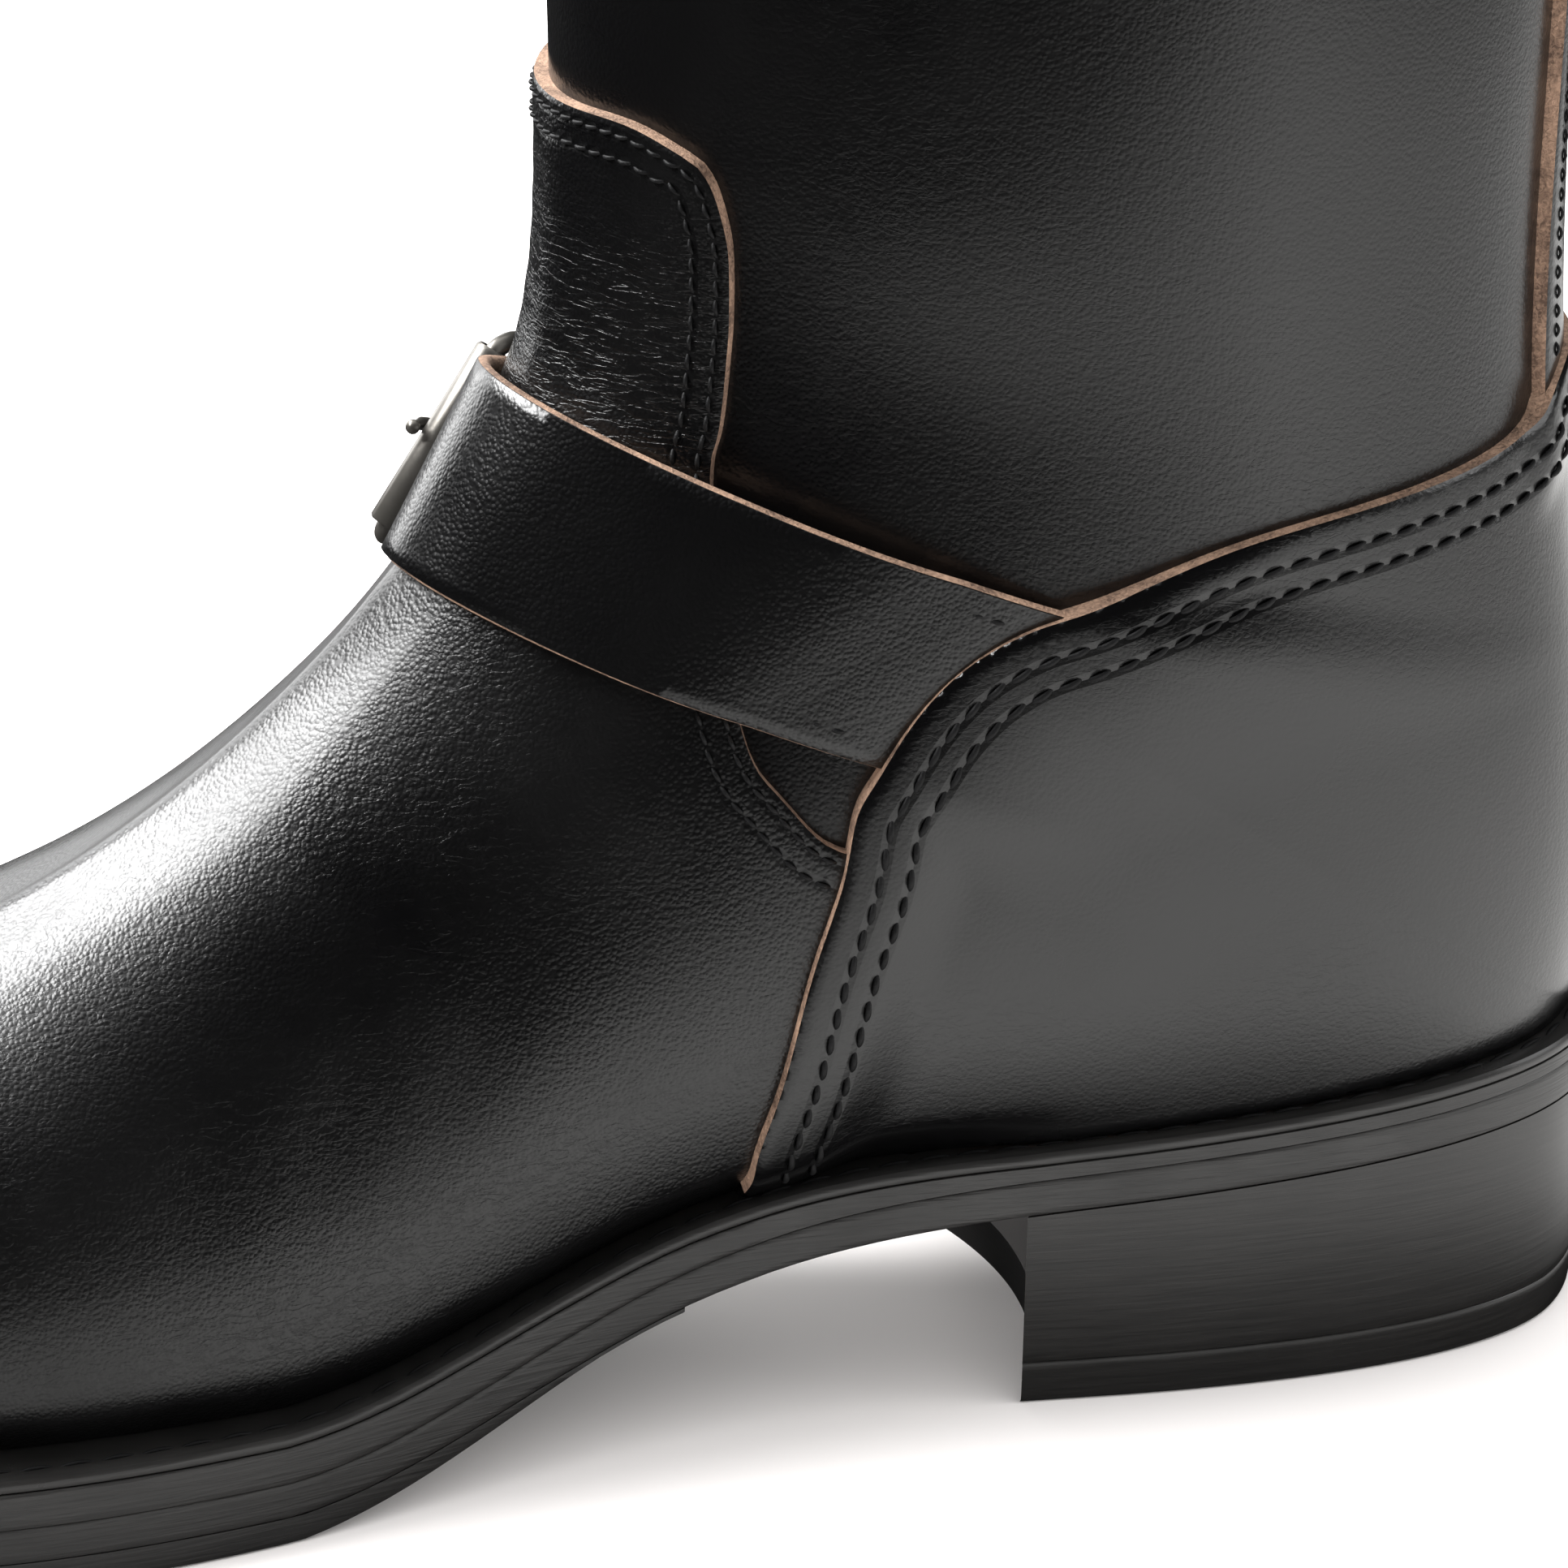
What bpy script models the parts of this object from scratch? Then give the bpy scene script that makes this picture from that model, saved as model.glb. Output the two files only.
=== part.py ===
"""Engineer boot, right foot: a pull-on leather boot with a buckled instep strap.

Metres, +Z up. The toe points along -Y and the inner side of the foot is +X.
The origin is the middle of the heel's face on the floor.
"""

import math

import bmesh
import bpy
import numpy as np
from mathutils import Vector

# Driving dimensions
SOLE_LENGTH = 0.302
BALL_WIDTH = 0.100
HEEL_LENGTH = 0.0848
HEEL_HEIGHT = 0.0284
BREAST_HOLLOW = 0.007
HEEL_TAPER = 0.0026
TOP_LIFT_THICKNESS = 0.0062
OUTSOLE_THICKNESS = 0.0047
TREAD_THICKNESS = 0.0042
HALF_SOLE_START = 0.430
HALF_SOLE_BOW = 0.003
HALF_SOLE_EDGE = 0.0008
MIDSOLE_THICKNESS = 0.0050
WELT_THICKNESS = 0.0020
WELT_INNER_MARGIN = 0.0050
EDGE_ROUND = 0.0006
INSOLE_THICKNESS = 0.0035
INSOLE_CLEARANCE = 0.0012
INSTEP_HEIGHT = 0.130
SHAFT_HEIGHT = 0.290
UPPER_WALL = 0.0022
OVERLAY_WALL = 0.0018
HEEL_SEAT_INSET = 0.0055
WELT_REACH = 0.0076
STRAP_WIDTH = 0.0275
STRAP_THICKNESS = 0.0021
BUCKLE_WIRE = 0.0030
ROLLER_DIAMETER = 0.0056
ROLLER_BORE = 0.0040
GAP = 0.0003

# Colours of the pieces, linear
BLACK_LEATHER = (0.010, 0.010, 0.012)
EDGE_BLACK = (0.020, 0.020, 0.021)
TAN_LEATHER = (0.42, 0.26, 0.16)
NICKEL = (0.62, 0.60, 0.56)

# The sole's outline and layers from heel back (0) to toe tip (1).
# station: share of SOLE_LENGTH. medial, lateral: half widths, shares of BALL_WIDTH.
# rise: underside of the outsole, share of HEEL_HEIGHT.
# tread, midsole: shares of TREAD_THICKNESS and MIDSOLE_THICKNESS.
SOLE_COLUMNS = ("station", "medial", "lateral", "rise", "tread", "midsole")
SOLE_TABLE = (
    (0.000, 0.000, 0.000, 1.194, 0.00, 0.40),
    (0.011, 0.118, 0.118, 1.186, 0.00, 0.40),
    (0.030, 0.196, 0.196, 1.173, 0.00, 0.40),
    (0.060, 0.255, 0.258, 1.152, 0.00, 0.40),
    (0.105, 0.296, 0.302, 1.121, 0.00, 0.40),
    (0.169, 0.314, 0.323, 1.077, 0.00, 0.40),
    (0.225, 0.311, 0.330, 1.038, 0.00, 0.40),
    (0.281, 0.298, 0.342, 0.996, 0.00, 0.42),
    (0.344, 0.287, 0.354, 0.925, 0.00, 0.56),
    (0.408, 0.289, 0.369, 0.780, 0.00, 0.72),
    (0.471, 0.318, 0.393, 0.525, 0.20, 0.84),
    (0.534, 0.374, 0.426, 0.222, 0.62, 0.93),
    (0.598, 0.433, 0.465, 0.010, 0.94, 1.00),
    (0.661, 0.474, 0.493, -0.04, 1.00, 1.00),
    (0.725, 0.490, 0.508, -0.04, 1.00, 1.00),
    (0.788, 0.478, 0.503, 0.000, 1.00, 1.00),
    (0.852, 0.438, 0.472, 0.060, 1.00, 1.00),
    (0.915, 0.356, 0.398, 0.170, 1.00, 1.00),
    (0.950, 0.283, 0.324, 0.250, 1.00, 1.00),
    (0.982, 0.172, 0.202, 0.320, 1.00, 1.00),
    (1.000, 0.000, 0.000, 0.350, 1.00, 1.00),
)

# Sections of the upper that stand on the sole, from toe to heel.
# base, crest: stations of the section's foot and top, shares of SOLE_LENGTH.
# level: height of the top, share of INSTEP_HEIGHT, and past 1 of the shaft above it.
# medial, lateral, ridge: half widths and the crest's shift, shares of BALL_WIDTH.
# widest: height of the widest line in the section. form: power of the rounding.
FOOT_COLUMNS = ("base", "crest", "level", "medial", "lateral", "widest", "ridge", "form")
FOOT_TABLE = (
    (0.9745, 0.9755, 0.277, 0.025, 0.025, 0.30, 0.000, 0.90),
    (0.9682, 0.9699, 0.323, 0.102, 0.117, 0.30, 0.005, 0.86),
    (0.9483, 0.9520, 0.369, 0.197, 0.227, 0.30, 0.015, 0.84),
    (0.9156, 0.9238, 0.395, 0.285, 0.321, 0.30, 0.030, 0.84),
    (0.8692, 0.8841, 0.412, 0.356, 0.391, 0.30, 0.045, 0.86),
    (0.8096, 0.8328, 0.438, 0.409, 0.437, 0.29, 0.060, 0.90),
    (0.7417, 0.7765, 0.481, 0.432, 0.453, 0.28, 0.070, 0.94),
    (0.6689, 0.7185, 0.533, 0.429, 0.452, 0.28, 0.070, 0.98),
    (0.5927, 0.6656, 0.592, 0.397, 0.434, 0.30, 0.065, 1.02),
    (0.5166, 0.6175, 0.663, 0.359, 0.410, 0.33, 0.055, 1.06),
    (0.4404, 0.5762, 0.740, 0.332, 0.388, 0.37, 0.045, 1.08),
    (0.3642, 0.5447, 0.810, 0.324, 0.374, 0.41, 0.035, 1.08),
    (0.2914, 0.5199, 0.878, 0.327, 0.368, 0.44, 0.025, 1.06),
    (0.2185, 0.5000, 0.946, 0.336, 0.366, 0.46, 0.020, 1.04),
    (0.1490, 0.4861, 1.003, 0.348, 0.366, 0.47, 0.015, 1.02),
    (0.0894, 0.4762, 1.042, 0.358, 0.368, 0.48, 0.010, 1.00),
    (0.0447, 0.4699, 1.075, 0.366, 0.371, 0.49, 0.005, 1.00),
)

# Closed loops of the upper, from the heel seat to the collar, with the same measures.
# back, back_level: where the loop meets the centre of the back.
SHAFT_COLUMNS = ("back", "back_level", "crest", "level", "medial", "lateral")
SHAFT_TABLE = (
    (0.0182, 0.000, 0.4662, 1.106, 0.372, 0.376),
    (0.0119, 0.423, 0.4636, 1.141, 0.378, 0.382),
    (0.0106, 0.538, 0.4619, 1.184, 0.384, 0.388),
    (0.0172, 0.692, 0.4609, 1.241, 0.392, 0.396),
    (0.0285, 0.862, 0.4609, 1.312, 0.402, 0.406),
    (0.0358, 1.044, 0.4616, 1.406, 0.415, 0.419),
    (0.0374, 1.225, 0.4636, 1.519, 0.430, 0.434),
    (0.0351, 1.438, 0.4669, 1.663, 0.450, 0.454),
    (0.0298, 1.700, 0.4719, 1.825, 0.475, 0.479),
    (0.0245, 2.000, 0.4785, 2.000, 0.500, 0.504),
)
SHAFT_WIDEST = 0.50
ROUNDING = 1e-9

# How finely the upper is divided
FOOT_STEPS = 22
SHAFT_STEPS = 9
LOWER_COLUMNS = 4
TOP_COLUMNS = 8


def column(table, names, name):
    """One named column of a table."""
    return np.array([row[names.index(name)] for row in table], float)


def spline(knots, values, at):
    """A natural cubic through the knots, read at the given places."""
    knots = np.asarray(knots, float)
    values = np.asarray(values, float)
    count = len(knots)
    step = np.diff(knots)
    slope = np.diff(values) / step
    matrix = np.eye(count)
    right = np.zeros(count)
    for i in range(1, count - 1):
        matrix[i, i - 1 : i + 2] = step[i - 1], 2 * (step[i - 1] + step[i]), step[i]
        right[i] = 6 * (slope[i] - slope[i - 1])
    bend = np.linalg.solve(matrix, right)
    i = np.clip(np.searchsorted(knots, at, side="right") - 1, 0, count - 2)
    after = at - knots[i]
    before = knots[i + 1] - at
    curved = (bend[i] * before**3 + bend[i + 1] * after**3) / (6 * step[i])
    start = (values[i] / step[i] - bend[i] * step[i] / 6) * before
    end = (values[i + 1] / step[i] - bend[i + 1] * step[i] / 6) * after
    return curved + start + end


def turn(share):
    """Angle round an outline at this share of its length: it runs fast at both ends."""
    return np.arccos(1 - 2 * np.clip(share, 0, 1))


def sole_half(share, side):
    """Half width of the sole on one side, in metres."""
    knots = turn(column(SOLE_TABLE, SOLE_COLUMNS, "station"))
    shares = column(SOLE_TABLE, SOLE_COLUMNS, side)
    return BALL_WIDTH * np.maximum(spline(knots, shares, turn(share)), 0)


def sole_rise(station):
    """Height of the outsole's underside. The ball of the foot is flat on the floor."""
    knots = column(SOLE_TABLE, SOLE_COLUMNS, "station")
    shares = column(SOLE_TABLE, SOLE_COLUMNS, "rise")
    outsole = HEEL_HEIGHT * np.maximum(spline(knots, shares, station / SOLE_LENGTH), 0)
    return outsole + layer(station, "tread", TREAD_THICKNESS)


def layer(station, name, thickness):
    """Thickness of one layer of the sole at a station."""
    knots = column(SOLE_TABLE, SOLE_COLUMNS, "station")
    shares = column(SOLE_TABLE, SOLE_COLUMNS, name)
    return thickness * np.clip(np.interp(station / SOLE_LENGTH, knots, shares), 0, 1)


def outsole_top(station):
    return sole_rise(station) + OUTSOLE_THICKNESS


def midsole_top(station):
    return outsole_top(station) + layer(station, "midsole", MIDSOLE_THICKNESS)


def welt_top(station):
    return midsole_top(station) + WELT_THICKNESS


def feather_share(station):
    """Place of a station along the line where upper and welt meet."""
    length = SOLE_LENGTH - HEEL_SEAT_INSET - WELT_REACH
    return np.clip((station - HEEL_SEAT_INSET) / length, 0, 1)


def feather_half(station, side):
    """Half width of the upper where it meets the welt."""
    kept = 1 - WELT_REACH / (BALL_WIDTH / 2)
    return kept * sole_half(feather_share(station), side)


def height_of(level):
    """Height of a level: 1 is the instep and 2 the collar."""
    above = np.maximum(level - 1, 0) * (SHAFT_HEIGHT - INSTEP_HEIGHT)
    return np.minimum(level, 1) * INSTEP_HEIGHT + above


def foot_and_shaft(name, shaft_value=None):
    """A column that runs on from the foot's sections through the shaft's loops."""
    foot = column(FOOT_TABLE, FOOT_COLUMNS, name)
    if shaft_value is None:
        return np.concatenate([foot, column(SHAFT_TABLE, SHAFT_COLUMNS, name)])
    return np.concatenate([foot, np.full(len(SHAFT_TABLE), shaft_value)])


def section(place):
    """Measures of the upper's section at a place from 0, the toe, to 1, the collar."""
    turning = len(FOOT_TABLE)
    last = turning + len(SHAFT_TABLE) - 1
    at = place * last
    rows = np.arange(last + 1)
    found = {
        "crest": SOLE_LENGTH * spline(rows, foot_and_shaft("crest"), at),
        "top": spline(rows, height_of(foot_and_shaft("level")), at),
        "medial": BALL_WIDTH * spline(rows, foot_and_shaft("medial"), at),
        "lateral": BALL_WIDTH * spline(rows, foot_and_shaft("lateral"), at),
        "widest": spline(rows, foot_and_shaft("widest", SHAFT_WIDEST), at),
        "ridge": BALL_WIDTH * spline(rows, foot_and_shaft("ridge", 0.0), at),
        "form": spline(rows, foot_and_shaft("form", 1.0), at),
    }
    backs = column(SHAFT_TABLE, SHAFT_COLUMNS, "back")
    if at < turning - ROUNDING:
        bases = np.append(column(FOOT_TABLE, FOOT_COLUMNS, "base"), backs[0])
        found["base"] = SOLE_LENGTH * spline(rows[: turning + 1], bases, at)
        found["bottom"] = welt_top(found["base"]) + GAP
        found["closed"] = False
        return found
    levels = height_of(column(SHAFT_TABLE, SHAFT_COLUMNS, "back_level"))
    levels[0] = welt_top(SOLE_LENGTH * backs[0]) + GAP
    found["base"] = SOLE_LENGTH * spline(rows[turning:], backs, at)
    found["bottom"] = spline(rows[turning:], levels, at)
    found["closed"] = True
    return found


def side_profile(found, side, lower, upper):
    """Points (x, share of the way up) of one side of a section, from its foot to its top."""
    widest = found["widest"]
    half = found[side]
    foot = 0.0 if found["closed"] else float(feather_half(found["base"], side))
    half = max(half, foot * 1.001)
    start = math.acos(foot / half)
    crest = found["ridge"] if side == "medial" else -found["ridge"]
    points = []
    for angle in start * (1 - np.arange(lower) / lower):
        points.append((half * math.cos(angle), widest * (1 - math.sin(angle) / math.sin(start))))
    for angle in (math.pi / 2) * np.arange(upper + 1) / upper:
        across = max(math.cos(angle), 0) ** found["form"]
        up = math.sin(angle) ** found["form"]
        points.append((crest + (half - crest) * across, widest + (1 - widest) * up))
    return points


def world(x, station, z):
    """A point at a station along the boot. The origin is under the middle of the heel."""
    return (x, HEEL_LENGTH / 2 - station, z)


def section_points(place, lower, upper):
    """One section of the upper, from its inner foot over the top to its outer foot."""
    found = section(place)
    inner = side_profile(found, "medial", lower, upper)
    outer = side_profile(found, "lateral", lower, upper)
    path = inner + [(-x, share) for x, share in reversed(outer[:-1])]
    points = []
    for x, share in path:
        station = found["base"] + share * (found["crest"] - found["base"])
        height = found["bottom"] + share * (found["top"] - found["bottom"])
        points.append(world(x, station, height))
    return points, found["closed"]


def upper_skin(lower=LOWER_COLUMNS, upper=TOP_COLUMNS):
    """The upper's outer surface: points, faces and outward normals."""
    points = []
    index = []
    heel = len(FOOT_TABLE) / (len(FOOT_TABLE) + len(SHAFT_TABLE) - 1)
    foot = np.linspace(0, heel, FOOT_STEPS + 1)
    shaft = np.linspace(heel, 1, SHAFT_STEPS + 1)
    for place in (*foot, *shaft[1:]):
        ring, closed = section_points(place, lower, upper)
        first = len(points)
        if closed:
            ring = ring[:-1]
        points.extend(ring)
        numbers = list(range(first, first + len(ring)))
        index.append(numbers + [first] if closed else numbers)
    faces = []
    toe = index[0]
    for j in range(lower + upper):
        rung = (toe[-1 - j], toe[-2 - j], toe[j + 1], toe[j])
        faces.append(tuple(dict.fromkeys(rung)))
    for below, above in zip(index, index[1:]):
        for j in range(len(below) - 1):
            face = (below[j], below[j + 1], above[j + 1], above[j])
            faces.append(tuple(dict.fromkeys(face)))
    points = np.array(points)
    faces = [triangle for face in faces for triangle in halves(points, face)]
    normals = vertex_normals(points, faces)
    outwards = points - np.array([0, HEEL_LENGTH / 2 - 0.25 * SOLE_LENGTH, INSTEP_HEIGHT])
    if (normals * outwards).sum() < 0:
        faces = [tuple(reversed(face)) for face in faces]
        normals = -normals
    return points, faces, normals


def halves(points, face):
    """Splits a face of four corners along its shorter diagonal."""
    if len(face) == 3:
        return [face]
    a, b, c, d = face
    if np.linalg.norm(points[a] - points[c]) < np.linalg.norm(points[b] - points[d]):
        return [(a, b, c), (a, c, d)]
    return [(a, b, d), (b, c, d)]


def vertex_normals(points, faces):
    """Mean normal at each point."""
    normals = np.zeros_like(points)
    for face in faces:
        corners = points[list(face)]
        centre = corners.mean(axis=0)
        for i in range(len(face)):
            j = (i + 1) % len(face)
            area = np.cross(corners[i] - centre, corners[j] - centre)
            normals[face[i]] += area
            normals[face[j]] += area
    return normals / np.linalg.norm(normals, axis=1)[:, None]


# Outlines of the panels, seen from the side.
# station: share of SOLE_LENGTH. level: height as in the upper's tables.
COUNTER_EDGE = (
    (0.404, 0.200),
    (0.402, 0.315),
    (0.392, 0.401),
    (0.379, 0.525),
    (0.366, 0.618),
    (0.360, 0.685),
    (0.351, 0.725),
    (0.336, 0.782),
    (0.313, 0.840),
    (0.287, 0.876),
    (0.261, 0.895),
    (0.221, 0.929),
    (0.164, 0.958),
    (0.080, 0.980),
    (0.058, 1.006),
    (0.036, 1.035),
    (-0.020, 1.060),
)
VAMP_EDGE = (
    (0.340, 0.200),
    (0.336, 0.560),
    (0.362, 0.644),
    (0.379, 0.671),
    (0.392, 0.709),
    (0.403, 0.755),
    (0.411, 0.880),
    (0.412, 1.011),
    (0.4085, 1.048),
    (0.4055, 1.108),
    (0.4045, 1.142),
    (0.4045, 1.189),
    (0.406, 1.216),
    (0.409, 1.241),
    (0.414, 1.263),
    (0.423, 1.275),
    (0.437, 1.287),
    (0.452, 1.288),
    (0.464, 1.287),
    (0.480, 1.295),
)
STAY_HALF_WIDTH = 0.0190
STAY_TOP_HALF_WIDTH = 0.0120

# The counter stands over the vamp and the strap's end along its front edge
COUNTER_STEP = 0.0021
COUNTER_STEP_LENGTH = 0.006
COUNTER_STEP_FADE = 0.012
COUNTER_STEP_LEVELS = (0.86, 0.95)

# The instep strap lies between two parallel planes, tilted down towards the heel
STRAP_STATION = 0.509
STRAP_LEVEL = 0.992
STRAP_TILT = math.radians(21.8)
STRAP_REST = OVERLAY_WALL + 0.0007
STRAP_TAIL = 0.063
ROLLER_AT = 0.012
BAR_AT = 0.034
KEEPER_AT = 0.0495
KEEPER_WIDTH = 0.009
KEEPER_WALL = 0.0011
KEEPER_BEND = 0.0016
PRONG_WIDTH = 0.0022
PRONG_TIP = 0.004
BAR_HEIGHT = 0.0058
BUCKLE_SIDE = 0.0026
CHAPE_THICKNESS = 0.0015
CHAPE_REST = 0.0040
TAIL_REST = CHAPE_REST + CHAPE_THICKNESS + 0.0009
TAIL_POINT = 0.012


def smooth(value, low, high):
    """Runs from 0 at low to 1 at high without a corner."""
    share = np.clip((value - low) / (high - low), 0, 1)
    return share * share * (3 - 2 * share)


def side_outline(table):
    """Side view points of a panel's edge as (station, height), rounded between its rows."""
    rows = np.arange(len(table))
    steps = np.linspace(0, len(table) - 1, 3 * (len(table) - 1) + 1)
    stations = SOLE_LENGTH * spline(rows, np.array([row[0] for row in table]), steps)
    heights = spline(rows, height_of(np.array([row[1] for row in table])), steps)
    return list(zip(stations, heights))


def sole_line(first, last, count=24):
    """Side view points just above the welt, from one station to another."""
    stations = np.linspace(first, last, count)
    return [(s, welt_top(np.clip(s, 0, SOLE_LENGTH)) + 2 * GAP) for s in stations]


def clear_collection(name):
    collection = bpy.data.collections.new(name)
    bpy.context.scene.collection.children.link(collection)
    return collection


def material(name, colour, roughness, metallic=0.0):
    made = bpy.data.materials.new(name)
    made.use_nodes = True
    shader = made.node_tree.nodes["Principled BSDF"]
    shader.inputs["Base Color"].default_value = (*colour, 1)
    shader.inputs["Roughness"].default_value = roughness
    shader.inputs["Metallic"].default_value = metallic
    made.diffuse_color = (*colour, 1)
    return made


def mesh_object(name, points, faces, collection, finish=None):
    """A named object from points and faces, shaded smooth with sharp edges kept."""
    mesh = bpy.data.meshes.new(name)
    mesh.from_pydata([tuple(map(float, p)) for p in points], [], faces)
    mesh.validate()
    obj = bpy.data.objects.new(name, mesh)
    collection.objects.link(obj)
    if finish is not None:
        mesh.materials.append(material(name, *finish))
        mesh.shade_smooth()
        mesh.set_sharp_from_angle(angle=math.radians(40))
    return obj


def face_outwards(obj):
    """Turns the faces of a closed mesh outwards."""
    mesh = bmesh.new()
    mesh.from_mesh(obj.data)
    bmesh.ops.recalc_face_normals(mesh, faces=mesh.faces)
    mesh.to_mesh(obj.data)
    mesh.free()
    return obj


def side_cutter(name, outline, cutters, reach=(-0.09, 0.09)):
    """A prism with this side view outline. It reaches across the boot between two widths."""
    mesh = bmesh.new()
    corners = [mesh.verts.new(world(reach[0], s, z)) for s, z in outline]
    face = mesh.faces.new(corners)
    grown = bmesh.ops.extrude_face_region(mesh, geom=[face])["geom"]
    moved = [item for item in grown if isinstance(item, bmesh.types.BMVert)]
    bmesh.ops.translate(mesh, verts=moved, vec=(reach[1] - reach[0], 0, 0))
    bmesh.ops.recalc_face_normals(mesh, faces=mesh.faces)
    data = bpy.data.meshes.new(name)
    mesh.to_mesh(data)
    mesh.free()
    obj = bpy.data.objects.new(name, data)
    cutters.objects.link(obj)
    obj.hide_render = True
    obj.display_type = "WIRE"
    return obj


def cut(obj, cutter, operation):
    boolean = obj.modifiers.new(cutter.name, "BOOLEAN")
    boolean.operation = operation
    boolean.solver = "EXACT"
    boolean.object = cutter


def solidify(obj, thickness, offset, weights=None):
    """Gives an open skin its wall. Weights make it thinner at some points."""
    shell = obj.modifiers.new("Wall", "SOLIDIFY")
    shell.thickness = thickness
    shell.offset = offset
    shell.use_even_offset = False
    if weights is None:
        return
    group = obj.vertex_groups.new(name="wall")
    for i, weight in enumerate(weights):
        group.add([i], float(weight), "REPLACE")
    shell.vertex_group = "wall"


def ring_solid(name, rings, collection, finish, ladder):
    """A closed solid through rings of points, from bottom to top.

    A ladder cap joins the two sides of the ring rung by rung, so that it follows a
    surface that bends along the boot. The other cap is one flat face.
    """
    count = len(rings[0])
    points = [point for ring in rings for point in ring]
    faces = []
    for k in range(len(rings) - 1):
        low = k * count
        high = low + count
        for i in range(count):
            j = (i + 1) % count
            faces.append((low + i, low + j, high + j, high + i))
    for start in (0, (len(rings) - 1) * count):
        if not ladder:
            faces.append(tuple(range(start, start + count)))
            continue
        for i in range(count // 2):
            rung = (start + i, start + i + 1, start + count - i - 1, start + (count - i) % count)
            faces.append(tuple(dict.fromkeys(rung)))
    return face_outwards(mesh_object(name, points, faces, collection, finish))


def sole_outline(inset, count=32):
    """Plan points of the sole's edge, heel back first, moved inwards by an inset."""
    angles = math.pi * np.arange(count + 1) / count
    shares = (1 - np.cos(angles)) / 2
    inner = list(zip(sole_half(shares, "medial"), SOLE_LENGTH * shares))
    outer = list(zip(-sole_half(shares, "lateral"), SOLE_LENGTH * shares))
    plan = np.array(inner + outer[-2:0:-1])
    return inset_outline(plan, inset)


def inset_outline(plan, inset):
    """Moves each point of a closed plan outline inwards along its normal."""
    along = np.roll(plan, -1, axis=0) - np.roll(plan, 1, axis=0)
    along /= np.linalg.norm(along, axis=1)[:, None]
    inward = np.stack([-along[:, 1], along[:, 0]], axis=1)
    if ((plan.mean(axis=0) - plan) * inward).sum() < 0:
        inward = -inward
    return plan + inward * inset


def sole_layer(name, bottom, top, collection, finish, inset=0.0):
    """A full-length layer of the sole with softly rounded edges."""
    rings = []
    for share, edge in ((0, EDGE_ROUND), (0.3, 0), (0.7, 0), (1, EDGE_ROUND)):
        plan = sole_outline(inset + edge)
        ring = []
        for x, station in plan:
            low = bottom(np.clip(station, 0, SOLE_LENGTH))
            high = top(np.clip(station, 0, SOLE_LENGTH))
            ring.append(world(x, station, low + share * (high - low)))
        rings.append(ring)
    return ring_solid(name, rings, collection, finish, ladder=True)


def build_midsole(parts):
    def bottom(station):
        return outsole_top(station) + GAP

    return sole_layer("midsole", bottom, midsole_top, parts, (EDGE_BLACK, 0.55))


def build_outsole(parts):
    return sole_layer("outsole", sole_rise, outsole_top, parts, (EDGE_BLACK, 0.5))


def half_sole_outline(inset, count=26):
    """Plan points of the half sole, with a slightly bowed edge under the waist."""
    start = math.acos(1 - 2 * HALF_SOLE_START)
    shares = (1 - np.cos(np.linspace(start, math.pi, count))) / 2
    inner = list(zip(sole_half(shares, "medial"), SOLE_LENGTH * shares))
    outer = list(zip(-sole_half(shares, "lateral"), SOLE_LENGTH * shares))
    side, back = inner[0]
    far = outer[0][0]
    bow = []
    for share in (0.25, 0.5, 0.75):
        depth = HALF_SOLE_BOW * math.sin(math.pi * share)
        bow.append((far + share * (side - far), back - depth))
    plan = np.array([bow[1], bow[2]] + inner + outer[-2::-1] + [bow[0]])
    return inset_outline(plan, inset)


def build_half_sole(parts):
    """The tread glued under the ball and toe. It thins out under the waist."""
    rings = []
    for share, edge in ((0, EDGE_ROUND), (0.3, 0), (1, 0)):
        ring = []
        for x, station in half_sole_outline(edge):
            top = sole_rise(np.clip(station, 0, SOLE_LENGTH))
            depth = np.maximum(layer(station, "tread", TREAD_THICKNESS), HALF_SOLE_EDGE)
            ring.append(world(x, station, top - depth + share * (depth - GAP)))
        rings.append(ring)
    return ring_solid("half_sole", rings, parts, (EDGE_BLACK, 0.6), ladder=True)


def build_welt(parts):
    """A strip round the whole sole, open where the insole lies."""
    kept = 1 - (WELT_REACH + WELT_INNER_MARGIN) / (BALL_WIDTH / 2)
    outside = sole_outline(0)
    inside = feather_outline(kept)
    rings = []
    for plan, share in ((outside, 0), (outside, 1), (inside, 1), (inside, 0)):
        ring = []
        for x, station in plan:
            low = midsole_top(np.clip(station, 0, SOLE_LENGTH)) + GAP
            high = welt_top(np.clip(station, 0, SOLE_LENGTH))
            ring.append(world(x, station, low + share * (high - low)))
        rings.append(ring)
    return tube_solid("welt", rings, parts, (EDGE_BLACK, 0.4))


def tube_solid(name, rings, collection, finish):
    """A closed solid whose last ring joins its first, like a flattened torus."""
    count = len(rings[0])
    points = [point for ring in rings for point in ring]
    faces = []
    for k in range(len(rings)):
        low = k * count
        high = ((k + 1) % len(rings)) * count
        for i in range(count):
            j = (i + 1) % count
            faces.append((low + i, low + j, high + j, high + i))
    return face_outwards(mesh_object(name, points, faces, collection, finish))


def feather_outline(kept, count=32, margin=0.0):
    """Plan points inside the line where the upper meets the welt."""
    angles = math.pi * np.arange(count + 1) / count
    shares = (1 - np.cos(angles)) / 2
    length = SOLE_LENGTH - HEEL_SEAT_INSET - WELT_REACH - 2 * margin
    stations = HEEL_SEAT_INSET + margin + length * shares
    inner = list(zip(kept * sole_half(shares, "medial"), stations))
    outer = list(zip(-kept * sole_half(shares, "lateral"), stations))
    return np.array(inner + outer[-2:0:-1])


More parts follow.
